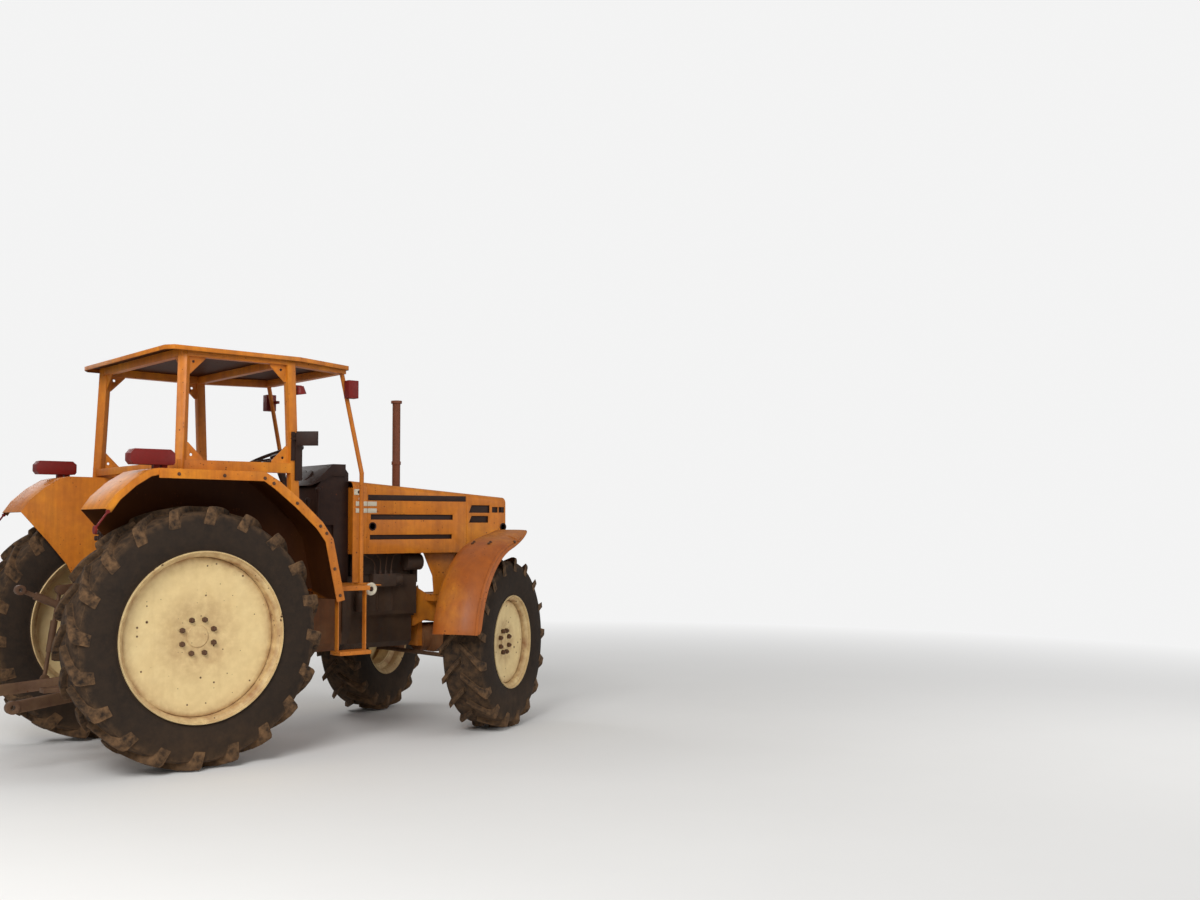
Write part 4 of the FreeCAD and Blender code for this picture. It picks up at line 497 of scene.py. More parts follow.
class Graph:
    """Adds and links the nodes of one shader tree."""

    def __init__(self, tree: Tree) -> None:
        """Keeps the tree that nodes go into."""
        self.tree = tree

    @classmethod
    def opened(cls, name: str, **inputs: float) -> tuple["Graph", list[Socket]]:
        """Starts a node group with float inputs and one mask.

        Args:
            name: The group's name.
            **inputs: Its inputs with their defaults.

        Returns:
            The group's graph and its inputs' values.
        """
        tree = bpy.data.node_groups.new(name, "ShaderNodeTree")
        for key, default in inputs.items():
            socket = tree.interface.new_socket(name=key, in_out="INPUT", socket_type="NodeSocketFloat")
            socket.default_value = default
        tree.interface.new_socket(name="Mask", in_out="OUTPUT", socket_type="NodeSocketFloat")
        graph = cls(tree)
        source = graph.add("NodeGroupInput")
        return graph, [source.outputs[key] for key in inputs]

    def closed(self, mask: Socket) -> Tree:
        """Ends a node group with its mask.

        Args:
            mask: What the group puts out.

        Returns:
            The group.
        """
        self.add("NodeGroupOutput", {0: mask})
        return self.tree

    def fill(self, node: bpy.types.Node, inputs: Inputs) -> None:
        """Links a node's inputs or sets their values.

        Args:
            node: The node to feed.
            inputs: An output, a value or a colour for each input.
        """
        for key, value in inputs.items():
            socket = node.inputs[key]
            if isinstance(value, Socket):
                self.tree.links.new(value, socket)
            else:
                socket.default_value = (*value, 1.0) if socket.type == "RGBA" else value

    def add(self, kind: str, inputs: Inputs | None = None, **settings: object) -> bpy.types.Node:
        """New node of a kind.

        Args:
            kind: Blender's name of the node's type.
            inputs: What its inputs are fed.
            **settings: Values set on the node.

        Returns:
            The new node.
        """
        node = self.tree.nodes.new(kind)
        for key, value in settings.items():
            setattr(node, key, value)
        self.fill(node, inputs or {})
        return node

    @property
    def place(self) -> Socket:
        """Object coordinates."""
        return self.add("ShaderNodeTexCoord").outputs["Object"]

    def split(self, value: Socket) -> Sequence[Socket]:
        """The x, y and z of a vector."""
        return self.add("ShaderNodeSeparateXYZ", {0: value}).outputs

    @property
    def normal(self) -> Socket:
        """Which way the surface faces."""
        return self.add("ShaderNodeNewGeometry").outputs["Normal"]

    def math(self, operation: str, a: object, b: object = 0.0, clamp: bool = False) -> Socket:
        """Result of a sum on two values.

        Args:
            operation: Blender's name of the sum.
            a: First value or output.
            b: Second value or output.
            clamp: True to keep the result within 0 and 1.

        Returns:
            The result's output.
        """
        node = self.add("ShaderNodeMath", {0: a, 1: b}, operation=operation, use_clamp=clamp)
        return node.outputs[0]

    def times(self, a: object, b: object) -> Socket:
        """Product of two values."""
        return self.math("MULTIPLY", a, b)

    def ranged(self, value: object, low: object, high: object) -> Socket:
        """Value brought from low..high to 0..1, clamped."""
        return self.add("ShaderNodeMapRange", {0: value, 1: low, 2: high}).outputs[0]

    def noise(self, scale: object, detail: float = 4.0, stretch: Point = (1, 1, 1)) -> Socket:
        """Noise on object coordinates, stretched along the axes.

        Args:
            scale: How fine the noise is.
            detail: How many layers it has.
            stretch: Scale along each axis.

        Returns:
            The noise's value.
        """
        place = self.place
        if stretch != (1, 1, 1):
            place = self.add("ShaderNodeMapping", {"Vector": place, "Scale": stretch}).outputs[0]
        inputs = {"Vector": place, "Scale": scale, "Detail": detail, "Roughness": 0.6}
        return self.add("ShaderNodeTexNoise", inputs).outputs[0]

    def blend(self, share: object, a: object, b: object) -> Socket:
        """Colour mixed from a to b by a share."""
        return self.add("ShaderNodeMix", {0: share, 6: a, 7: b}, data_type="RGBA").outputs[2]

    def level(self, share: object, a: object, b: object) -> Socket:
        """Value mixed from a to b by a share."""
        return self.add("ShaderNodeMix", {0: share, 2: a, 3: b}, data_type="FLOAT").outputs[0]

    def group(self, tree: Tree, **values: object) -> Socket:
        """Mask of a placed node group.

        Args:
            tree: The group to place.
            **values: Values of its inputs, named in small letters.

        Returns:
            The mask.
        """
        node = self.add("ShaderNodeGroup", node_tree=tree)
        self.fill(node, {key.capitalize(): value for key, value in values.items()})
        return node.outputs[0]

    def patches(self, scale: float, amount: float, softness: float) -> Socket:
        """Mask of soft uneven patches."""
        return self.group(Effects.patches(), scale=scale, amount=amount, softness=softness)

    def caked(self, scale: float, detail: float, low: float, share: float) -> Socket:
        """Mask of the dirt, painted shade and painted highlight noted on the vertices, broken up by noise.

        Args:
            scale: How fine the noise is.
            detail: How many layers it has.
            low: Where the noise starts to show.
            share: How strong the mask is.

        Returns:
            The mask.
        """
        marks = self.add("ShaderNodeAttribute", attribute_name="soil").outputs["Fac"]
        return self.times(self.times(marks, self.ranged(self.noise(scale, detail), low, 0.7)), share)

    def bump(self, height: Socket, strength: float, distance: float) -> Socket:
        """Normal that follows a height."""
        inputs = {"Strength": strength, "Distance": distance, "Height": height}
        return self.add("ShaderNodeBump", inputs).outputs[0]


class Effects:
    """Shared weathering masks and a painted-shade mask, each a node group built once."""

    @staticmethod
    @cache
    def edges() -> Tree:
        """Mask of worn edges, broken up by noise.

        Returns:
            The group.
        """
        g, (width, breakup, amount) = Graph.opened("Worn edges", Width=0.004, Breakup=40.0, Amount=0.5)
        rounded = g.add("ShaderNodeBevel", {"Radius": width}, samples=4).outputs[0]
        facing = g.add("ShaderNodeVectorMath", {0: rounded, 1: g.normal}, operation="DOT_PRODUCT")
        edge = g.ranged(g.math("SUBTRACT", 1.0, facing.outputs["Value"]), 0.02, 0.22)
        breaks = g.ranged(g.noise(breakup, 6.0), g.math("SUBTRACT", 0.72, amount), 0.75)
        return g.closed(g.math("MULTIPLY", edge, breaks, clamp=True))

    @staticmethod
    @cache
    def patches() -> Tree:
        """Mask of soft uneven patches.

        Returns:
            The group.
        """
        g, (scale, amount, softness) = Graph.opened("Patches", Scale=4.0, Amount=0.5, Softness=0.25)
        edge = g.math("SUBTRACT", 0.78, g.times(amount, 0.5))
        return g.closed(g.ranged(g.noise(scale, 7.0), g.math("SUBTRACT", edge, softness), edge))

    @staticmethod
    @cache
    def streaks() -> Tree:
        """Mask of streaks that run down.

        Returns:
            The group.
        """
        g, (scale, amount) = Graph.opened("Streaks", Scale=18.0, Amount=0.5)
        edge = g.math("SUBTRACT", 0.85, g.times(amount, 0.5))
        return g.closed(g.ranged(g.noise(scale, 5.0, (1.0, 1.0, 0.07)), g.math("SUBTRACT", edge, 0.25), edge))

    @staticmethod
    @cache
    def specks() -> Tree:
        """Mask of small spots of uneven size.

        Returns:
            The group.
        """
        g, (scale, largest, amount) = Graph.opened("Specks", Scale=60.0, Size=0.25, Amount=0.4)
        cells = g.add("ShaderNodeTexVoronoi", {"Vector": g.place, "Scale": scale})
        size = g.times(largest, g.math("ADD", 0.35, g.ranged(g.noise(5.0, 3.0), 0.45, 0.7)))
        spot = g.ranged(cells.outputs["Distance"], size, g.times(size, 0.55))
        chosen = g.add("ShaderNodeSeparateColor", {0: cells.outputs["Color"]}).outputs[0]
        return g.closed(g.math("MULTIPLY", spot, g.math("LESS_THAN", chosen, amount), clamp=True))

    @staticmethod
    @cache
    def dust() -> Tree:
        """Mask of dust that settles low down and on what faces up.

        Returns:
            The group.
        """
        g, (bottom, top, amount) = Graph.opened("Settled dust", Low=0.3, High=1.3, Amount=0.5)
        low = g.ranged(g.split(g.place)[2], top, bottom)
        up = g.times(g.ranged(g.split(g.normal)[2], 0.55, 1.0), 0.6)
        broken = g.ranged(g.noise(9.0, 8.0), 0.3, 0.75)
        return g.closed(g.math("MULTIPLY", g.times(g.math("MAXIMUM", low, up), broken), amount, clamp=True))

    @staticmethod
    @cache
    def underside() -> Tree:
        """Mask of painted shade on what faces down, or stands upright within a reach of the middle.

        Returns:
            The group.
        """
        g, (middle, reach) = Graph.opened("Underside", Middle=0.05, Reach=0.0)
        _, sideways, up = g.split(g.normal)
        down = g.ranged(up, -0.12, -0.3)
        off = g.math("SUBTRACT", g.split(g.place)[1], middle)
        within = g.math("LESS_THAN", g.math("ABSOLUTE", off), reach)
        away = g.ranged(g.times(g.math("SIGN", off), sideways), 0.3, 0.6)
        return g.closed(g.math("MAXIMUM", down, g.times(within, away), clamp=True))


def opened_material(name: str) -> tuple[bpy.types.Material, Graph, bpy.types.Node]:
    """New material with its graph and shader.

    Args:
        name: The material's name.

    Returns:
        The material, its graph and its shader.
    """
    made = bpy.data.materials.new(name)
    made.use_nodes = True
    return made, Graph(made.node_tree), made.node_tree.nodes["Principled BSDF"]


@dataclass(frozen=True)
class Look:
    """Procedural finish; each kind says what its shader is fed."""

    name: str

    def material(self) -> bpy.types.Material:
        """The finish as a material, built once.

        Returns:
            The material.
        """
        name = f"{self.name}_finish"
        made = bpy.data.materials.get(name)
        if made is None:
            made, graph, shader = opened_material(name)
            graph.fill(shader, self.shade(graph))
        return made

    def shade(self, g: Graph) -> dict[str, object]:
        """What each of the shader's inputs is fed."""
        raise NotImplementedError


@dataclass(frozen=True)
class Paint(Look):
    """Weathered paint on metal: fading, streaks, settled dust, rust at edges and in spots, and painted shade
    underneath where asked.
    """

    base: Colour
    faded: Colour
    grime: Colour = (0.06, 0.025, 0.01)
    rust: Colour = (0.16, 0.045, 0.015)
    dust: Colour = (0.36, 0.22, 0.11)
    deep: Colour = (0.03, 0.012, 0.006)
    # Colour of the painted shade, partly underseal, on what faces down and on inner walls.
    seal: Colour = (0.030, 0.009, 0.005)
    wear: float = 0.35
    spots: float = 0.12
    spot_scale: float = 55.0
    streak: float = 0.45
    dusty: float = 0.35
    roughness: float = 0.5
    rough_bare: float = 0.88
    coat: float = 0.06
    sheen: float = 0.35
    # Sheen where that painted shade lies.
    seal_sheen: float = 0.03
    dents: float = 0.25
    metal: float = 0.0
    stain: float = 0.3
    mottle: float = 0.22
    # Strength of the painted shade underneath, and how far from the middle inner walls take it.
    under: float = 0.0
    reach: float = 0.0
    dark_rust: float = 0.45

    def shade(self, g: Graph) -> dict[str, object]:
        """Layers of paint, dirt, painted shade and rust, from the lowest to the topmost.

        Args:
            g: The material's graph.

        Returns:
            What each of the shader's inputs is fed.
        """
        runs = g.group(Effects.streaks(), scale=14.0, amount=self.streak)
        settled_dust = g.group(Effects.dust(), low=0.35, high=1.5, amount=self.dusty)
        layers = [
            (g.patches(2.4, 0.75, 0.5), self.faded),
            (g.times(g.patches(1.7, 0.55, 0.4), self.stain), self.deep),
            (g.times(g.patches(22.0, 0.35, 0.25), self.mottle), self.grime),
            (g.times(runs, self.streak), self.grime),
            # Grime on the marked vertices: dirt, and painted shade in the rims' recesses.
            (g.caked(11.0, 7.0, 0.25, 0.9), self.grime),
            (settled_dust, self.dust),
        ]
        sheen = self.sheen
        # Painted shade, partly underseal: what faces down, and inner walls within the reach, darkened with
        # their sheen lowered.
        if self.under:
            below = g.group(Effects.underside(), reach=self.reach)
            layers.append((g.times(below, self.under), self.seal))
            sheen = g.level(below, self.sheen, self.seal_sheen)
        edge = g.group(Effects.edges(), width=0.005, breakup=28.0, amount=self.wear)
        spots = g.group(Effects.specks(), scale=self.spot_scale, size=0.32, amount=self.spots)
        bare = g.math("MAXIMUM", edge, spots)
        shadow = tuple(c * self.dark_rust for c in self.rust)
        layers.append((bare, g.blend(g.noise(90.0, 5.0), self.rust, shadow)))
        colour = self.base
        for share, tone in layers:
            colour = g.blend(share, colour, tone)
        rough = g.level(g.math("MAXIMUM", bare, settled_dust), self.roughness, self.rough_bare)
        grain = g.times(g.math("SUBTRACT", g.noise(60.0, 4.0), 0.5), 0.18)
        height = g.math("ADD", g.times(g.noise(3.2, 2.0), self.dents), g.times(g.noise(260.0), 0.02))
        return {
            "Base Color": colour,
            "Roughness": g.math("ADD", rough, grain, clamp=True),
            "Coat Weight": self.coat,
            "Coat Roughness": 0.3,
            "Specular IOR Level": sheen,
            "Metallic": self.metal,
            "Normal": g.bump(g.math("SUBTRACT", height, g.times(bare, 0.04)), 0.35, 0.02),
        }


@dataclass(frozen=True)
class Rubber(Look):
    """Tyre rubber: grey bloom, dried mud in the grooves, scuffed lugs, and painted highlight on the lugs'
    edges and shoulders.
    """

    base: Colour = (0.008, 0.0065, 0.006)
    bloom: Colour = (0.018, 0.013, 0.010)
    # Colour of dried mud, also used for the painted highlight on the lugs.
    earth: Colour = (0.24, 0.13, 0.06)
    dusty: float = 0.85

    def shade(self, g: Graph) -> dict[str, object]:
        """Rubber under thin dust, dried mud and scuffed edges, with painted highlight on the lugs.

        Args:
            g: The material's graph.

        Returns:
            What each of the shader's inputs is fed.
        """
        dust = g.patches(17.0, self.dusty, 0.4)
        # Scuffed edges, partly a painted highlight on the lug edges.
        scuffs_and_highlight = g.group(Effects.edges(), width=0.012, breakup=22.0, amount=0.5)
        colour = g.blend(g.patches(6.0, 0.6, 0.45), self.base, self.bloom)
        for share in (
            g.times(dust, 0.03),
            # Mud on the marked vertices, and painted highlight on the lugs' shoulders.
            g.caked(24.0, 8.0, 0.35, 0.75),
            g.times(scuffs_and_highlight, 0.6),
            g.group(Effects.dust(), low=0.0, high=0.35, amount=0.3),
        ):
            colour = g.blend(share, colour, self.earth)
        height = g.math("ADD", g.times(g.noise(45.0, 8.0), 0.5), g.times(g.noise(300.0), 0.12))
        return {
            "Base Color": colour,
            "Roughness": g.level(dust, 0.7, 0.95),
            "Specular IOR Level": 0.25,
            "Normal": g.bump(height, 0.6, 0.006),
        }


@dataclass(frozen=True)
class Vinyl(Look):
    """Worn seat vinyl: fine grain, creases and rubbed seams."""

    base: Colour = (0.045, 0.018, 0.012)
    rubbed: Colour = (0.12, 0.06, 0.04)

    def shade(self, g: Graph) -> dict[str, object]:
        """Grained vinyl with rubbed patches.

        Args:
            g: The material's graph.

        Returns:
            What each of the shader's inputs is fed.
        """
        worn = g.patches(7.0, 0.55, 0.5)
        inputs = {"Vector": g.place, "Scale": 420.0}
        grain = g.add("ShaderNodeTexVoronoi", inputs, feature="DISTANCE_TO_EDGE")
        height = g.math("ADD", grain.outputs["Distance"], g.times(g.noise(16.0, 6.0), 1.5))
        return {
            "Base Color": g.blend(worn, self.base, self.rubbed),
            "Roughness": g.level(worn, 0.42, 0.68),
            "Normal": g.bump(height, 0.35, 0.002),
        }


@dataclass(frozen=True)
class Lens(Look):
    """Moulded lamp lens with fine ribs under a dusty gloss."""

    base: Colour = (0.19, 0.006, 0.004)
    ribs: float = 260.0
    dirt: Colour = (0.05, 0.012, 0.008)

    def shade(self, g: Graph) -> dict[str, object]:
        """Ribbed lens with dirty patches.

        Args:
            g: The material's graph.

        Returns:
            What each of the shader's inputs is fed.
        """
        dirty = g.patches(30.0, 0.4, 0.4)
        wave = g.add("ShaderNodeTexWave", {"Vector": g.place, "Scale": self.ribs / 6.0}, bands_direction="Y")
        return {
            "Base Color": g.blend(g.times(dirty, 0.3), self.base, self.dirt),
            "Roughness": g.level(dirty, 0.3, 0.6),
            "Specular IOR Level": 0.3,
            "Coat Weight": 0.05,
            "Normal": g.bump(wave.outputs["Fac"], 0.5, 0.002),
        }


BODY_PAINT = Paint(
    "body_paint", (0.78, 0.235, 0.006), (0.84, 0.35, 0.014), grime=(0.24, 0.055, 0.006),
    deep=(0.46, 0.075, 0.004), stain=0.6, wear=0.45, spots=0.2, streak=0.4, dusty=0.2,
)
# Darker copy of the body paint with heavier dark patches and streaks: painted shade on the front mudguards,
# which are the body's orange.
SHADED_GUARD_PAINT = replace(
    BODY_PAINT, name="guard_paint", base=(0.68, 0.165, 0.005), deep=(0.30, 0.035, 0.003),
    stain=0.8, streak=0.5, under=0.94,
)
WHEEL_PAINT = Paint(
    "wheel_paint", (0.84, 0.63, 0.28), (0.90, 0.76, 0.42), grime=(0.27, 0.10, 0.03),
    rust=(0.10, 0.03, 0.012), deep=(0.62, 0.38, 0.13), stain=0.45, mottle=0.1, wear=0.6, spots=0.16,
    spot_scale=36.0, streak=0.12, dusty=0.12, roughness=0.6, coat=0.0,
)
DARK_PAINT = Paint(
    "dark_paint", (0.008, 0.005, 0.004), (0.018, 0.010, 0.008), deep=(0.035, 0.010, 0.006), wear=0.25,
    spots=0.05, streak=0.12, dusty=0.07, roughness=0.55, coat=0.0, sheen=0.22,
)
CAST_PAINT = Paint(
    "cast_paint", (0.17, 0.05, 0.012), (0.26, 0.085, 0.02), wear=0.4, spots=0.2, dusty=0.3,
    roughness=0.65, coat=0.0,
)
ENGINE_PAINT = replace(
    CAST_PAINT, name="engine_paint", base=(0.035, 0.024, 0.02), faded=(0.06, 0.04, 0.03), dusty=0.2
)
WORN_STEEL = replace(
    CAST_PAINT, name="worn_steel", base=(0.10, 0.055, 0.036), faded=(0.17, 0.09, 0.055), metal=0.35
)
RUSTY_STEEL = replace(
    CAST_PAINT, name="rusty_steel", base=(0.17, 0.045, 0.02), faded=(0.26, 0.07, 0.028), spots=0.5
)
PLATE_PAINT = Paint(
    "blank_plate", (0.78, 0.68, 0.48), (0.85, 0.78, 0.6), spots=0.1, dusty=0.15, streak=0.2, mottle=0.1
)


class Finish(Enum):
    """The finishes of the tractor, each with the record's slot that it stands for."""

    BODY = ("body_paint", BODY_PAINT)
    # Roof and rear mudguards: body paint with painted shade, partly underseal, underneath; the mudguards also
    # on their inner walls.
    ROOF = ("body_paint", replace(BODY_PAINT, name="roof_paint", under=0.94))
    ARCH = ("body_paint", replace(BODY_PAINT, name="arched_paint", under=0.94, reach=0.90))
    GUARD = ("body_paint", SHADED_GUARD_PAINT)
    WHEEL = ("wheel_paint", WHEEL_PAINT)
    DARK = ("dark_paint", DARK_PAINT)
    CAST = ("cast_paint", CAST_PAINT)
    ENGINE = ("engine_paint", ENGINE_PAINT)
    STEEL = ("worn_steel", WORN_STEEL)
    RUSTY = ("rusty_steel", RUSTY_STEEL)
    TYRE = ("tyre_rubber", Rubber("tyre_rubber"))
    SEAT = ("seat_vinyl", Vinyl("seat_vinyl"))
    LAMP = ("lamp_red", Lens("lamp_red"))
    GLASS = (None, Lens("lamp_glass", (0.55, 0.50, 0.40), 420.0))
    PLATE = (None, PLATE_PAINT)


def fitted(piece: Piece, finish: Finish, body: str, *nodes: str) -> None:
    """Finishes a piece and puts it on its body, in place of its nodes.

    Args:
        piece: The finished mesh.
        finish: Its finish.
        body: The body that it rides on.
        *nodes: Nodes that it stands for.
    """
    slot, look = finish.value
    piece.data.materials.clear()
    piece.data.materials.append(look.material())
    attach(piece, body)
    if nodes:
        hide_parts(*nodes)
    LOG.info("piece %s on %s", piece.name, body)


@dataclass
class Bolts:
    """Hexagon heads on washers; their proportions are shares of a head's radius."""

    radius: float
    rise: float = 0.62
    chamfer: float = 0.16
    dome: float = 0.1
    washer: float = 1.45
    washer_depth: float = 0.26
    washer_rise: float = 0.1

    def fit(self, name: str, spots: Sequence[tuple[Vector, Vector]], body: str) -> None:
        """Models one bolt and copies it to its spots.

        Args:
            name: Name of the joined bolts.
            spots: Where each head sits and which way it faces.
            body: The body that they ride on.
        """
        r = self.radius
        clear()
        bpy.ops.mesh.primitive_cylinder_add(vertices=6, radius=r, depth=r, location=(0, 0, r * self.rise))
        head = settled(name + "_head")
        edit(head, "FACE")
        bpy.ops.mesh.select_all(action="DESELECT")
        mesh = bmesh.from_edit_mesh(head.data)
        for face in mesh.faces:
            if face.normal.z > 0.9:
                face.select_set(True)
        mesh.select_flush_mode()
        bmesh.update_edit_mesh(head.data)
        bpy.ops.mesh.inset(thickness=r * self.chamfer, depth=r * self.dome)
        done()
        clear()
        middle = (0, 0, r * self.washer_rise)
        bpy.ops.mesh.primitive_cylinder_add(
            vertices=14, radius=r * self.washer, depth=r * self.washer_depth, location=middle
        )
        master = joined(name + "_master", [head, settled(name + "_washer")])
        soften(master)
        turns = [facing.to_track_quat("Z", "Y").to_matrix().to_4x4() for _, facing in spots]
        places = [Matrix.Translation(spot) @ turn for (spot, _), turn in zip(spots, turns)]
        fitted(pattern(name, master, places), Finish.STEEL, body)


@dataclass
class Assembly:
    """Part of the tractor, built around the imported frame."""

    frame: Frame

    def fit(self) -> None:
        """Builds the sub-assembly in its place."""
        raise NotImplementedError

    def dress(self, bevel: float, finish: Finish, *nodes: str) -> None:
        """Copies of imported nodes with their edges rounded, in place of the nodes.

        Args:
            bevel: Width of the rounded edges.
            finish: The pieces' finish.
            *nodes: The nodes' names.
        """
        for node in nodes:
            clear()
            piece = twin(self.frame.nodes[node], node + "_shell", Matrix())
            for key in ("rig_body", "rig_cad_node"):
                if key in piece:
                    del piece[key]
            piece.parent = None
            only(piece)
            bpy.ops.mesh.customdata_custom_splitnormals_clear()
            edit(piece)
            bpy.ops.mesh.remove_doubles(threshold=DOUBLES * 2)
            bpy.ops.mesh.dissolve_limited(angle_limit=math.radians(0.6))
            bpy.ops.object.mode_set(mode="OBJECT")
            soften(piece, bevel)
            fitted(piece, finish, self.frame.body(node), node)

    def slab(
        self, name: str, side: Side, rect: Rect, faces: Pair, finish: Finish, bevel: float = 0.0008
    ) -> None:
        """Flat plate that stands along one side of the tractor.

        Args:
            name: The plate's name.
            side: The side that it stands on.
            rect: Its ends and edges.
            faces: Its inner and outer face, from the middle.
            finish: Its finish.
            bevel: Width of its rounded edges.
        """
        x0, x1, z0, z1 = rect
        y0, y1 = sorted(side.value * y for y in faces)
        at = self.frame.at
        fitted(block(name, at(x0, y0, z0), at(x1, y1, z1), bevel), finish, "chassis")

    def knob(self, name: str, outline: Sequence[Pair], steps: int, place: Matrix, finish: Finish) -> None:
        """Small turned piece.

        Args:
            name: The piece's name.
            outline: Its section as (radius, along) points.
            steps: Steps of the turn.
            place: Where it goes.
            finish: Its finish.
        """
        piece = placed(turned(name, outline, steps), place)
        soften(piece)
        fitted(piece, finish, "chassis")


@dataclass
class Wheel(Assembly):
    """One end's pair of wheels: lugged tyre, rolled rim and pressed disc."""

    end: str
    tyre_radius: float
    tyre_width: float
    rim_radius: float
    rim_width: float
    lug_height: float
    lug_pairs: int
    disc_inset: float
    hub_radius: float
    nut_circle: float
    nuts: int = 8
    steer: float = 0.0
    steps: int = 96
    sheet: float = 0.009
    disc_sheet: float = 0.011
    well_depth: float = 0.04
    nut: Triple = (0.017, 0.020, 0.002)  # radius, length, bevel
    stud: Triple = (0.009, 0.028, 0.001)

    @property
    def crown(self) -> float:
        """Radius of the tyre between its lugs."""
        return self.tyre_radius - self.lug_height

    def carcass(self) -> Piece:
        """Smooth tyre body under its lugs.

        Returns:
            The tyre's body at the origin.
        """
        half = self.tyre_width / 2
        bead = self.rim_radius - 0.012
        deep = self.crown - bead
        # Side of the tyre from its bead out to the tread: metres, share of the height, share of the width.
        profile = (
            (0.0, 0.0, 0.80), (0.012, 0.0, 0.90), (0.024, 0.0, 0.895), (0.0, 0.16, 0.95), (0.0, 0.38, 1.0),
            (0.0, 0.58, 0.99), (0.0, 0.78, 0.955), (0.0, 0.92, 0.88), (0.0, 0.985, 0.72), (0.0, 1.0, 0.4),
        )
        outside = [(bead + up + deep * share, wide * half) for up, share, wide in profile]
        right = [(radius, -y) for radius, y in outside]
        inside = [(bead + deep * 0.82, 0.75 * half), (bead + deep * 0.82, -0.75 * half)]
        piece = turned(self.end + "_carcass", right + outside[::-1] + inside, self.steps)
        reach = self.tyre_radius - self.lug_height * 2.4
        soil(piece, lambda place: 0.45 if math.hypot(place.x, place.z) > reach else 0.06)
        return piece

    def lug(self, side: int) -> Piece:
        """One lug from the tyre's middle to its shoulder.

        Args:
            side: -1 for the outer row and 1 for the inner row.

        Returns:
            The lug at the top of the tyre.
        """
        half = self.tyre_width / 2
        sweep = half * 0.5
        thick = self.lug_height * 0.62
        # Share of the half width, of the sweep, of the thickness and of the radius, and the foot's depth.
        stations = (
            (-0.02, 1.0, 0.86, 1.0, -0.010), (0.10, 0.82, 0.92, 1.0, -0.010), (0.34, 0.38, 0.96, 1.0, -0.010),
            (0.60, -0.16, 1.06, 1.0, -0.012), (0.82, -0.66, 1.16, 0.997, -0.024),
            (0.935, -0.92, 1.24, 0.991, -0.05), (0.985, -1.02, 1.26, 0.965, -0.085),
        )
        sections = []
        for across, ahead, wide, reach, foot in stations:
            x, y, low = sweep * ahead, side * half * across, self.crown + foot
            top = math.sqrt((self.tyre_radius * reach - 0.0008) ** 2 - (abs(x) + thick) ** 2)
            base, tip = thick * wide * 1.15, thick * wide * 0.86
            corners = ((x - base, low), (x + base, low), (x + tip, top), (x - tip, top))
            sections.append([Vector((along, y, up)) for along, up in corners])
        piece = swept(f"{self.end}_lug", sections)
        soften(piece, 0.003, 40)
        # More mud towards the lug's shoulder, partly a painted highlight on the lit lug ends.
        soil(piece, lambda place: 0.5 + 0.5 * min(1.0, abs(place.y) / half))
        return piece

    def tyre(self) -> Piece:
        """Tyre with both rows of lugs, upright at the origin, for the right-hand side.

        Returns:
            The tyre's master.
        """
        pieces = [self.carcass()]
        for side, phase in ((1, 0.0), (-1, 0.5)):
            turns = [(i + phase) * math.tau / self.lug_pairs for i in range(self.lug_pairs)]
            places = [Matrix.Rotation(turn, 4, "Y") for turn in turns]
            pieces.append(pattern(f"{self.end}_lugs", self.lug(side), places))
        piece = joined(self.end + "_tyre_master", pieces)
        soften(piece)
        return piece

    def rim(self) -> Piece:
        """Rolled rim and pressed disc, upright at the origin, for the right-hand side.

        Returns:
            The rim's master.
        """
        r, half, sheet = self.rim_radius, self.rim_width / 2, self.sheet
        base = r - 0.026
        well = base - self.well_depth
        edge = base - sheet
        # Outer face of the band from flange to flange through the well, then its inner face back.
        profile = [
            (r - 0.011, -half + 0.004), (r - 0.008, -half - 0.001), (r - 0.002, -half - 0.001),
            (r, -half + 0.004), (r - 0.001, -half + 0.012), (base + 0.004, -half + 0.022),
            (base, -half + 0.03), (base, -half * 0.5), (well, -half * 0.34), (well, half * 0.34),
            (base, half * 0.5), (base, half - 0.03), (base + 0.004, half - 0.022), (r - 0.001, half - 0.012),
            (r, half - 0.004), (r - 0.006, half), (r - 0.011, half - 0.006), (base - 0.004, half - 0.026),
            (edge, half - 0.036), (edge, half * 0.5), (well - sheet, half * 0.3), (well - sheet, -half * 0.3),
            (edge, -half * 0.5), (edge, -half + 0.036), (base - 0.005, -half + 0.026),
            (r - 0.012, -half + 0.014),
        ]
        band = turned(self.end + "_band", profile, self.steps)
        face = -half + self.disc_inset
        hub = self.hub_radius
        outside = [
            (edge + 0.002, face + 0.03), (edge - 0.001, face - 0.006), (edge - 0.006, face - 0.016),
            (edge - 0.018, face - 0.021), (edge - 0.035, face - 0.019), (edge * 0.84, face - 0.012),
            (edge * 0.62, face - 0.004), (hub * 1.32, face), (hub * 1.22, face + 0.004),
            (hub * 0.55, face + 0.004), (hub * 0.5, face - 0.002), (0.0, face - 0.004),
        ]
        back = [(radius, y + self.disc_sheet) for radius, y in reversed(outside[1:])]
        disc = turned(self.end + "_disc", outside + back, self.steps)
        piece = joined(self.end + "_rim_master", [band, disc])
        soften(piece)

        def gathered(place: Vector) -> float:
            """Painted shade and dirt in the corner between the disc and the band, and dirt around the hub.

            Args:
                place: A point of the rim.

            Returns:
                The mark from 0 to 1.
            """
            radius = math.hypot(place.x, place.z)
            corner = 1.0 - min(1.0, abs(radius - edge) / 0.05)
            return max(corner, 0.5 if radius < hub * 1.4 else 0.0, 0.6 if place.y > face + 0.02 else 0.0)

        # The corner marks paint shade into the rim's recess as well as dirt.
        soil(piece, gathered)
        return piece

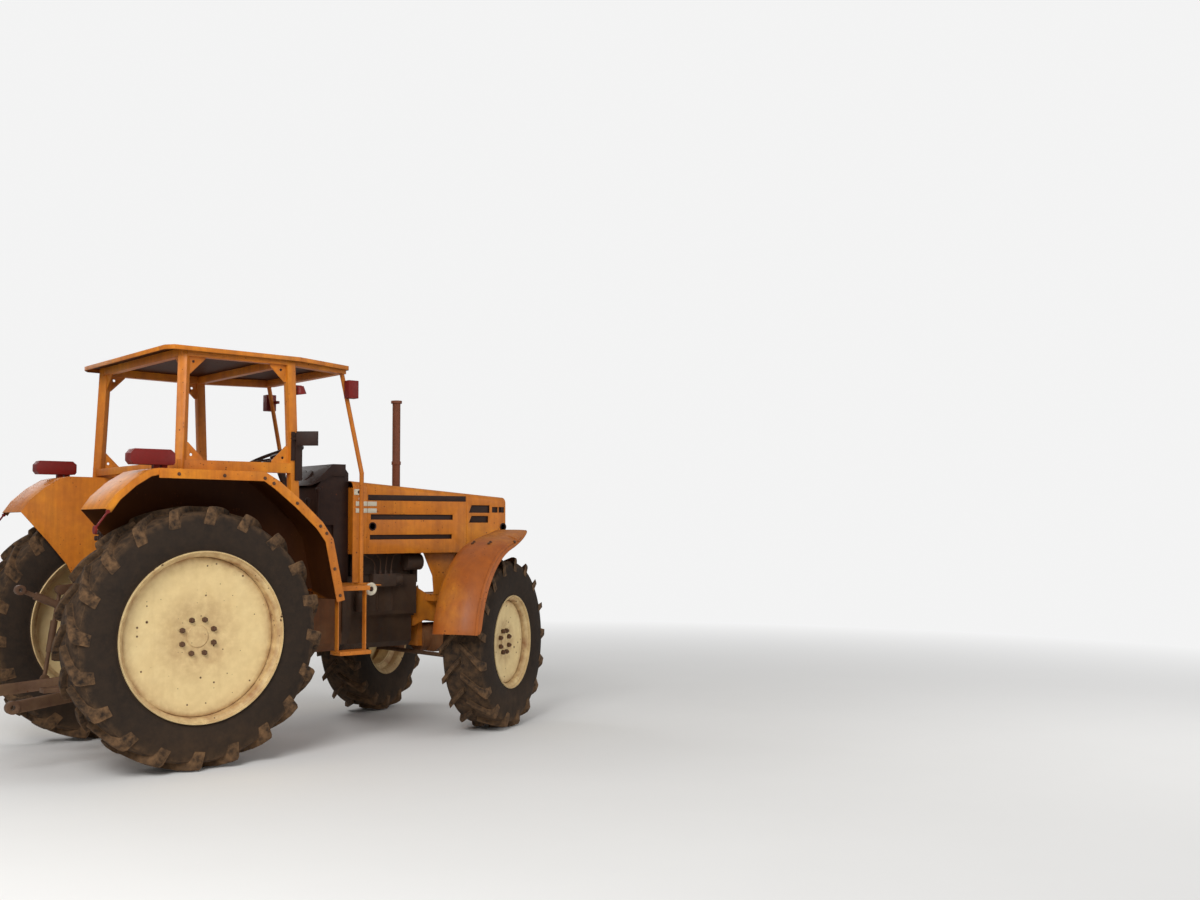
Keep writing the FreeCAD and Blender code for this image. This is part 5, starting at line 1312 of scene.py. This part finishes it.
    def nut_ring(self) -> Piece:
        """Wheel nuts on their studs, in a ring on the disc.

        Returns:
            The nuts' master.
        """
        face = -self.rim_width / 2 + self.disc_inset + 0.004
        pieces = []
        for i in range(self.nuts):
            turn = math.tau * (i + 0.5) / self.nuts
            spot = Vector((self.nut_circle * math.cos(turn), face, self.nut_circle * math.sin(turn)))
            for word, (radius, length, bevel), sides in (("nut", self.nut, 6), ("stud", self.stud, 12)):
                end = spot - Vector((0, length, 0))
                pieces.append(bar(f"{self.end}_{word}_{i}", spot, end, radius, sides, bevel))
        return joined(self.end + "_nuts_master", pieces)

    def fit(self) -> None:
        """Builds both wheels of this end in their places."""
        masters = (
            (self.tyre(), "tyre", Finish.TYRE, ("tyre",)),
            (self.rim(), "rim", Finish.WHEEL, ("rim",)),
            (self.nut_ring(), "wheel_nuts", Finish.STEEL, ()),
        )
        for side in Side:
            place = self.frame.wheel(self.end, side, self.steer)
            body = f"{self.end}_wheel_{side.word}"
            for master, word, finish, nodes in masters:
                piece = twin(master, f"{self.end}_{word}_{side.word}_detail", place)
                fitted(piece, finish, body, *[f"{self.end}_{node}_{side.word}" for node in nodes])
        for master, *_ in masters:
            bpy.data.objects.remove(master)
        self.dress(0.003, Finish.CAST, *[f"{self.end}_hub_{side.word}" for side in Side])


@dataclass
class FrontMudguard(Assembly):
    """Crowned mudguard that turns with the front wheel and runs out to a point in front."""

    crown: float = 0.750
    outer: float = 0.200
    inner: float = 0.150
    skirt: float = 0.070
    tip: float = 0.262
    sheet: float = 0.004
    steer: float = math.radians(30)
    bead: float = 0.005
    rear_angle: int = 82
    seam_angle: int = 8
    angle_step: int = 6
    squareness: float = 3.2
    bolt_angle: float = math.radians(20)
    bolt_rows: Pair = (-0.075, 0.050)
    bolt_step: float = 0.015
    side_bolt: Point = (-0.075, -0.186, 0.711)
    side_bolt_facing: Point = (-0.1, -0.8, 0.6)

    def section(self, drop: float, narrow: float) -> list[Pair]:
        """Cross-section from the outer edge to the inner edge.

        Args:
            drop: How far the edges hang below the crown.
            narrow: Share of the full width.

        Returns:
            Points as (across, below the crown).
        """
        points = []
        for share in (-1.0, -0.985, -0.93, -0.8, -0.6, -0.3, 0.0, 0.3, 0.6, 0.8, 0.93, 0.985, 1.0):
            half = self.outer if share < 0 else self.inner
            fall = drop * (1 - math.sqrt(max(0.0, 1 - abs(share) ** self.squareness)))
            points.append((share * half * narrow, fall))
        return points

    def build(self) -> Piece:
        """The guard around a wheel at the origin, for the right-hand side.

        Returns:
            The guard's master.
        """
        sections = []
        for degrees in range(self.rear_angle, self.seam_angle - 1, -self.angle_step):
            way = Vector((-math.sin(math.radians(degrees)), math.cos(math.radians(degrees))))
            row = [(way * (self.crown - fall), y) for y, fall in self.section(self.skirt, 1.0)]
            sections.append([Vector((spot.x, y, spot.y)) for spot, y in row])
        # Ahead of the seam the guard runs on straight, its skirt fading out and its width narrowing.
        turn = math.radians(self.seam_angle)
        start_x, start_z = -self.crown * math.sin(turn), self.crown * math.cos(turn)
        for share in (0.12, 0.3, 0.5, 0.7, 0.86, 1.0):
            x = start_x + (self.tip - start_x) * share
            z = start_z + (x - start_x) * math.tan(turn)
            drop = self.skirt * (1 - share) ** 0.8 + 0.006
            narrow = 1.0 - 0.25 * share**2.2
            row = self.section(drop, narrow)
            sections.append([Vector((x - fall * 0.35, y, z - fall)) for y, fall in row])
        piece = swept("front_mudguard_master", sections, closed=False)
        modify(piece, "SUBSURF", levels=1, render_levels=1)
        modify(piece, "SOLIDIFY", thickness=self.sheet, offset=-1.0)
        soften(piece, 0.0012, 50)
        return piece

    def seam(self) -> Piece:
        """Raised bead across the guard where its front half is joined on.

        Returns:
            The bead's master.
        """
        turn = math.radians(self.seam_angle)
        height = self.crown * (math.cos(turn) + math.sin(turn) * math.tan(turn))
        ahead = Vector((0.009, 0, 0.0013))
        sections = []
        for y, fall in self.section(self.skirt * 0.85, 0.98)[1:-1]:
            lean = max(-1.0, min(1.0, y / self.outer if y < 0 else y / self.inner)) ** 5
            out = Vector((0, lean, 1 - abs(lean))).normalized() * self.bead
            middle = Vector((0, y, height - fall - 0.001))
            corners = (-ahead - out, ahead - out, ahead + out, out - ahead)
            sections.append([middle + corner for corner in corners])
        piece = swept("front_mudguard_seam", sections)
        soften(piece, 0.0015, 40)
        return piece

    def spots(self, place: Matrix) -> list[tuple[Vector, Vector]]:
        """Where one guard's bolts sit and which way they face.

        Args:
            place: The guard's place.

        Returns:
            A spot and a direction for each bolt.
        """
        turn = place.to_3x3()
        back, up = math.sin(self.bolt_angle), math.cos(self.bolt_angle)
        found = []
        for y in self.bolt_rows:
            for step in (-self.bolt_step, self.bolt_step):
                spot = Vector((-back * self.crown + step, y, up * self.crown + step * 0.36))
                found.append((place @ spot, (turn @ Vector((-back, 0, up))).normalized()))
        return found + [(place @ Vector(self.side_bolt), turn @ Vector(self.side_bolt_facing))]

    def fit(self) -> None:
        """Puts a guard over each front wheel, with its bolts."""
        master, bead = self.build(), self.seam()
        for side in Side:
            name, body = f"front_mudguard_{side.word}", f"knuckle_{side.word}"
            place = self.frame.wheel("front", side, self.steer)
            fitted(twin(master, name + "_sheet", place), Finish.GUARD, body, name)
            Bolts(0.008).fit(name + "_bolts", self.spots(place), body)
            fitted(twin(bead, name + "_seam", place), Finish.GUARD, body)
        for piece in (master, bead):
            bpy.data.objects.remove(piece)


@dataclass
class SheetMetal(Assembly):
    """Bonnet, nose, cowl, roof, safety frame, rear mudguards and platform."""

    bonnet_side: float = 0.333
    trim_depth: float = 0.0025
    stripe: Rect = (1.450, 2.281, 1.612, 1.652)
    plates: tuple[Rect, ...] = ((1.352, 1.520, 1.572, 1.604), (1.352, 1.520, 1.524, 1.556))
    plate_gap: Pair = (1.4425, 1.4455)
    grommets: tuple[Pair, ...] = ((2.626, 1.424), (1.487, 1.430))
    grommet: tuple[Pair, ...] = (
        (0.0, 0.0), (0.028, 0.0), (0.03, 0.003), (0.026, 0.007), (0.021, 0.004), (0.018, -0.004),
        (0.0, -0.004),
    )
    # Dark sheets just inside the bonnet's sides: painted shade behind its openings.
    screen_y: Pair = (0.318, 0.321)
    screen_places: tuple[Rect, ...] = ((1.455, 2.190, 1.315, 1.540), (2.296, 2.606, 1.435, 1.598))
    cowl_y: Pair = (0.322, 0.338)
    cowl_plate: Rect = (1.338, 1.392, 1.648, 1.690)
    cowl_hole: float = 0.0115
    cowl_stud: Triple = (1.385, 1.622, 0.011)  # x, z, radius
    lamp_spot: Point = (2.628, 0.205, 1.452)
    lamp_radius: float = 0.068
    post_plate: Rect = (0.682, 0.732, 1.722, 2.030)
    post_y: Pair = (0.7175, 0.728)
    wing_y: Pair = (0.9545, 0.9605)
    strip_width: float = 0.058
    wing_edge: tuple[Pair, ...] = (
        (-0.296, 1.768), (0.362, 1.762), (0.462, 1.705), (0.610, 1.588), (0.756, 1.455), (0.832, 1.350),
        (0.918, 0.962),
    )
    wing_bolts: tuple[Pair, ...] = (
        (-0.18, 1.735), (0.10, 1.732), (0.36, 1.722), (0.419, 1.692), (0.578, 1.572), (0.739, 1.430),
        (0.783, 1.385), (0.842, 1.160), (0.882, 0.992),
    )

    def fit(self) -> None:
        """Dresses the sheet metal and adds its trim."""
        panels = ("bonnet", "bonnet_nose", "cowl", "safety_frame", "frame_crossbars", "platform")
        self.dress(0.0016, Finish.BODY, *panels)
        self.dress(0.0016, Finish.ROOF, "roof")
        self.dress(0.0016, Finish.ARCH, *[f"rear_mudguard_{side.word}" for side in Side])
        self.dress(0.0012, Finish.DARK, "grille")
        self.dress(0.002, Finish.DARK, "radiator")
        for make in (self.trim, self.screens, self.cowl_plates):
            for side in Side:
                make(side)
        self.slab("post_plate", Side.RIGHT, self.post_plate, self.post_y, Finish.DARK, 0.003)
        for make in (self.headlamp, self.wing_strip):
            for side in Side:
                make(side)

    def trim(self, side: Side) -> None:
        """Dark stripe, blank plates and round grommets on one side of the bonnet.

        Args:
            side: The side.
        """
        faces = (self.bonnet_side, self.bonnet_side + self.trim_depth)
        self.slab(f"bonnet_stripe_{side.word}", side, self.stripe, faces, Finish.DARK)
        for i, (x0, x1, z0, z1) in enumerate(self.plates):
            for part, ends in enumerate(((x0, self.plate_gap[0]), (self.plate_gap[1], x1))):
                self.slab(f"blank_plate_{side.word}_{i}_{part}", side, (*ends, z0, z1), faces, Finish.PLATE)
        for i, (x, z) in enumerate(self.grommets):
            place = side.place(self.frame.at(x, side.value * self.bonnet_side, z), Side.LEFT)
            self.knob(f"grommet_{side.word}_{i}", self.grommet, 28, place, Finish.DARK)

    def screens(self, side: Side) -> None:
        """Dark sheets behind the openings of the bonnet and the nose: painted shade inside the engine bay."""
        for i, rect in enumerate(self.screen_places):
            self.slab(f"bonnet_screen_{side.word}_{i}", side, rect, self.screen_y, Finish.DARK)

    def cowl_plates(self, side: Side) -> None:
        """Pale bracket plate with a dark disc painted as the shade in its hole, and a pale stud, at the
        cowl's upper rear corner.

        Args:
            side: The side.
        """
        _, x1, z0, z1 = self.cowl_plate
        self.slab(f"cowl_plate_{side.word}", side, self.cowl_plate, self.cowl_y, Finish.PLATE, 0.004)
        middle = self.frame.at(x1 - 0.016, side.value * self.cowl_y[1], (z0 + z1) / 2)
        out = Vector((0, side.value * 0.0015, 0))
        # Dark disc on the plate: painted shade in place of a hole.
        hole = bar(f"cowl_plate_hole_{side.word}", middle - out, middle + out, self.cowl_hole, 20, 0.0005)
        fitted(hole, Finish.DARK, "chassis")
        x, z, radius = self.cowl_stud
        low = self.frame.at(x, side.value * self.bonnet_side, z)
        stud = bar(f"cowl_stud_{side.word}", low - out, low + out * 3, radius, 20, 0.002)
        fitted(stud, Finish.PLATE, "chassis")

    def headlamp(self, side: Side) -> None:
        """Domed glass in a headlamp's bowl.

        Args:
            side: The side.
        """
        x, y, z = self.lamp_spot
        r = self.lamp_radius
        glass = [(0.0, 0.012), (r * 0.45, 0.0105), (r * 0.8, 0.006), (r * 0.95, 0.001)]
        dome = [*glass, (r, -0.004), (0.0, -0.004)]
        place = side.place(self.frame.at(x, side.value * y, z), side, math.radians(-90))
        self.knob(f"headlamp_glass_{side.word}", dome, 40, place, Finish.GLASS)

    def wing_strip(self, side: Side) -> None:
        """Flat strip along a rear mudguard's outer edge, with the bolts that hold it.

        Args:
            side: The side.
        """
        y0, y1 = (side.value * y for y in self.wing_y)
        edge = [Vector(point) for point in self.wing_edge]
        sections = []
        for before, here, after in zip(edge[:1] + edge, edge, edge[1:] + edge[-1:]):
            along = (after - before).normalized()
            low = here + Vector((along.y, -along.x)) * self.strip_width
            corners = ((here, y1), (here, y0), (low, y0), (low, y1))
            sections.append([self.frame.at(spot.x, y, spot.y) for spot, y in corners])
        strip = swept(f"wing_strip_{side.word}", sections)
        soften(strip, 0.0015, 30)
        fitted(strip, Finish.BODY, "chassis")
        spots = [(self.frame.at(x, y1, z), Vector((0, side.value, 0))) for x, z in self.wing_bolts]
        Bolts(0.0075).fit(f"wing_bolts_{side.word}", spots, "chassis")


@dataclass
class Cushion(Assembly):
    """Padded seat part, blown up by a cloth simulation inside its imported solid."""

    node: str
    tilt: float = 0.0
    depth: float = 0.085
    trim: float = 0.02
    shrink: float = 0.014
    cap: float = 0.024
    voxel: float = 0.006
    edge: float = 0.03
    pressure: float = 4.0
    frames: int = 20

    def fit(self) -> None:
        """Builds the cushion in place of its node."""
        low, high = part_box(self.node)
        size = high - low
        if self.tilt:
            size.x = self.depth
            size.z = size.z / math.cos(self.tilt) - self.trim
        clear()
        bpy.ops.mesh.primitive_cube_add(size=2.0, location=(0, 0, 0))
        piece = settled(self.node + "_pad", size / 2 - Vector((self.shrink, self.shrink, self.shrink * 0.6)))
        modify(piece, "BEVEL", width=self.edge, segments=4, limit_method="ANGLE")
        modify(piece, "REMESH", mode="VOXEL", voxel_size=self.voxel)
        self.blow(piece)
        modify(piece, "SUBSURF", levels=1, render_levels=1)
        placed(piece, Matrix.Translation((low + high) / 2) @ Matrix.Rotation(self.tilt, 4, "Y"))
        soften(piece)
        fitted(piece, Finish.SEAT, self.frame.body(self.node), self.node)

    def blow(self, piece: Piece) -> None:
        """Swells the pad with cloth pressure and caps how far it moves.

        Args:
            piece: The closed pad.
        """
        rest = [point.co.copy() for point in piece.data.vertices]
        only(piece)
        cloth = piece.modifiers.new("Cloth", "CLOTH")
        cloth.settings.use_pressure = True
        cloth.settings.uniform_pressure_force = self.pressure
        cloth.settings.effector_weights.gravity = 0.0
        cloth.point_cache.frame_start = 1
        cloth.point_cache.frame_end = self.frames
        for number in range(1, self.frames + 1):
            bpy.context.scene.frame_set(number)
        bpy.ops.object.modifier_apply(modifier=cloth.name)
        bpy.context.scene.frame_set(1)
        for point, start in zip(piece.data.vertices, rest):
            moved = point.co - start
            if moved.length > self.cap:
                point.co = start + moved * (self.cap / moved.length)


@dataclass
class DriverPlace(Assembly):
    """Seat, steering wheel, console, levers and pedals."""

    recline: float = math.radians(-2.8)

    def fit(self) -> None:
        """Builds what the driver touches."""
        Cushion(self.frame, "seat_cushion").fit()
        Cushion(self.frame, "seat_back", tilt=self.recline).fit()
        bevels = {"seat_base": 0.002, "console": 0.006, "steering_wheel": 0.0, "controls": 0.001}
        for node, bevel in bevels.items():
            self.dress(bevel, Finish.DARK, node)


@dataclass
class RunningGear(Assembly):
    """Engine, gearbox, axles, linkage and the smaller fittings."""

    plain: tuple[tuple[float, Finish, tuple[str, ...]], ...] = (
        (0.004, Finish.ENGINE, ("engine",)),
        (0.004, Finish.CAST, ("gearbox", "rear_axle", "front_axle")),
        (0.003, Finish.BODY, ("front_support",)),
        (0.002, Finish.CAST, ("knuckle_left", "knuckle_right")),
        (0.001, Finish.STEEL, ("tie_rod",)),
        (0.001, Finish.RUSTY, ("exhaust_stack",)),
        (0.002, Finish.STEEL, ("drawbar", "lower_links", "lift_arms")),
        (0.001, Finish.STEEL, ("lift_rods", "top_link")),
        (0.006, Finish.LAMP, ("tail_lamps",)),
        (0.003, Finish.LAMP, ("marker_lamps",)),
        (0.001, Finish.DARK, ("valve_block",)),
        (0.002, Finish.DARK, ("mirror",)),
    )
    pipes: int = 4
    pipe_radius: float = 0.0035
    outlet: Point = (1.585, -0.205, 1.118)
    outlet_step: float = 0.045
    injector: Point = (1.455, -0.160, 1.320)
    injector_step: float = 0.125
    cap_spot: Point = (1.233, 0.743, 1.014)
    cap: tuple[Pair, ...] = (
        (0.016, 0.0), (0.040, 0.0), (0.043, -0.004), (0.041, -0.010), (0.034, -0.014), (0.018, -0.010),
        (0.016, -0.006),
    )
    cap_middle: tuple[Pair, ...] = ((0.0, 0.0), (0.0165, 0.0), (0.0165, -0.006), (0.0, -0.007))

    def fit(self) -> None:
        """Dresses the running gear, then adds its pipes and caps."""
        for bevel, finish, nodes in self.plain:
            self.dress(bevel, finish, *nodes)
        for i in range(self.pipes):
            self.fuel_pipe(i)
        for side in Side:
            x, y, z = self.cap_spot
            place = side.place(self.frame.at(x, side.value * y, z), Side.RIGHT)
            self.knob(f"step_cap_{side.word}", self.cap, 32, place, Finish.PLATE)
            self.knob(f"step_cap_middle_{side.word}", self.cap_middle, 24, place, Finish.DARK)

    def fuel_pipe(self, number: int) -> None:
        """Steel pipe from one of the pump's outlets to its injector.

        Args:
            number: The pipe's number, from the rear.
        """
        outlet = Vector(self.outlet) + Vector((number * self.outlet_step, 0, 0))
        injector = Vector(self.injector) + Vector((number * self.injector_step, 0, 0))
        rise = outlet + Vector((0, -0.012, 0.06 + 0.012 * number))
        bend = injector + Vector((0, -0.03, -0.07))
        points = [self.frame.at(*point) for point in (outlet, rise, (rise + bend) / 2, bend, injector)]
        fitted(tube(f"fuel_pipe_{number}", points, self.pipe_radius), Finish.STEEL, "chassis")


@dataclass
class Studio(Assembly):
    """Pale floor, soft lights and the camera at the photograph's angle."""

    spot: Point = (-3.19943, -8.18696, 1.40885)
    yaw: float = 0.714
    pitch: float = 0.0613
    roll: float = -0.0037
    focal: float = 1278.9
    frame_width: float = 1200.0
    ambient: Colour = (0.40, 0.40, 0.40)
    backdrop: Colour = (0.90, 0.90, 0.90)
    floor_tones: tuple[Colour, Colour] = ((0.80, 0.79, 0.77), (0.84, 0.83, 0.81))
    floor_size: float = 120.0
    fade_from: float = 3.5
    fade_to: float = 11.0
    lamps: tuple[tuple[str, Point, Point, float, float], ...] = (
        ("key_light", (-4.5, -5.5, 5.5), (0.3, 0.0, 1.0), 3.5, 450.0),
        ("fill_light", (5.5, -5.0, 3.5), (0.6, 0.0, 0.9), 4.5, 90.0),
        ("back_light", (1.0, 6.5, 5.0), (0.0, 0.0, 1.2), 4.0, 150.0),
    )

    def fit(self) -> None:
        """Makes the floor, world, lights and camera."""
        self.floor()
        self.world()
        for lamp in self.lamps:
            self.lamp(*lamp)
        self.camera()

    def floor(self) -> None:
        """Wide pale floor that keeps the tractor's shadow and fades into the pale distance."""
        clear()
        bpy.ops.mesh.primitive_plane_add(size=self.floor_size, location=(0, 0, -0.001))
        floor = named("studio_floor")
        paint, g, shader = opened_material("studio_floor")
        g.fill(shader, {"Base Color": g.blend(g.noise(0.8, 3.0), *self.floor_tones), "Roughness": 0.9})
        distance = g.add("ShaderNodeVectorMath", {0: g.place}, operation="LENGTH")
        far = g.ranged(distance.outputs["Value"], self.fade_from, self.fade_to)
        seen = g.times(far, g.add("ShaderNodeLightPath").outputs["Is Camera Ray"])
        glow = g.add("ShaderNodeEmission", {"Color": self.backdrop}).outputs[0]
        both = g.add("ShaderNodeMixShader", {0: seen, 1: shader.outputs[0], 2: glow})
        g.fill(paint.node_tree.nodes["Material Output"], {"Surface": both.outputs[0]})
        floor.data.materials.append(paint)

    def world(self) -> None:
        """Even pale surroundings, shown as near white to the camera and through glass."""
        world = bpy.data.worlds.new("studio")
        bpy.context.scene.world = world
        world.use_nodes = True
        g = Graph(world.node_tree)
        paths = g.add("ShaderNodeLightPath").outputs
        seen = g.math("MAXIMUM", paths["Is Camera Ray"], paths["Is Transmission Ray"])
        colour = g.blend(seen, self.ambient, self.backdrop)
        g.fill(world.node_tree.nodes["Background"], {"Color": colour, "Strength": 1.0})

    def lamp(self, name: str, spot: Point, target: Point, size: float, power: float) -> None:
        """Large soft light aimed at a point.

        Args:
            name: The light's name.
            spot: Where it hangs, with x from the rear axle.
            target: What it is aimed at.
            size: Its width.
            power: Its power in watts.
        """
        place = self.frame.at(*spot)
        turn = (self.frame.at(*target) - place).to_track_quat("-Z", "Y").to_euler()
        clear()
        bpy.ops.object.light_add(type="AREA", location=place, rotation=turn)
        light = bpy.context.active_object
        light.name = name
        light.data.size = size
        light.data.energy = power

    def camera(self) -> None:
        """Camera fitted to the photograph."""
        reach, rise = math.cos(self.pitch), math.sin(self.pitch)
        ahead = Vector((math.sin(self.yaw) * reach, math.cos(self.yaw) * reach, rise))
        level = Vector((math.cos(self.yaw), -math.sin(self.yaw), 0))
        upright = level.cross(ahead)
        right = level * math.cos(self.roll) + upright * math.sin(self.roll)
        up = upright * math.cos(self.roll) - level * math.sin(self.roll)
        clear()
        bpy.ops.object.camera_add(location=self.frame.at(*self.spot))
        camera = bpy.context.active_object
        camera.rotation_euler = Matrix((right, up, -ahead)).transposed().to_euler()
        camera.data.sensor_width = SENSOR
        camera.data.lens = self.focal / self.frame_width * SENSOR
        camera.data.clip_end = 200.0
        bpy.context.scene.camera = camera


def main() -> None:
    """Builds the tractor around its frame and lights it."""
    logging.basicConfig(level=logging.INFO, format="%(message)s")
    frame = Frame()
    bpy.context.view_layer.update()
    rear = Wheel(
        frame, "rear", tyre_radius=0.778, tyre_width=0.345, rim_radius=0.508, rim_width=0.340,
        lug_height=0.038, lug_pairs=20, disc_inset=0.098, hub_radius=0.125, nut_circle=0.105, steps=112,
    )
    front = Wheel(
        frame, "front", tyre_radius=0.605, tyre_width=0.315, rim_radius=0.330, rim_width=0.290,
        lug_height=0.030, lug_pairs=17, disc_inset=0.070, hub_radius=0.095, nut_circle=0.080,
        steer=math.radians(30),
    )
    others = [kind(frame) for kind in (FrontMudguard, SheetMetal, DriverPlace, RunningGear, Studio)]
    for part in (rear, front, *others):
        LOG.info("sub-assembly %s", type(part).__name__)
        part.fit()
    bpy.context.scene.view_settings.view_transform = "Standard"


if __name__ == "__main__":
    main()
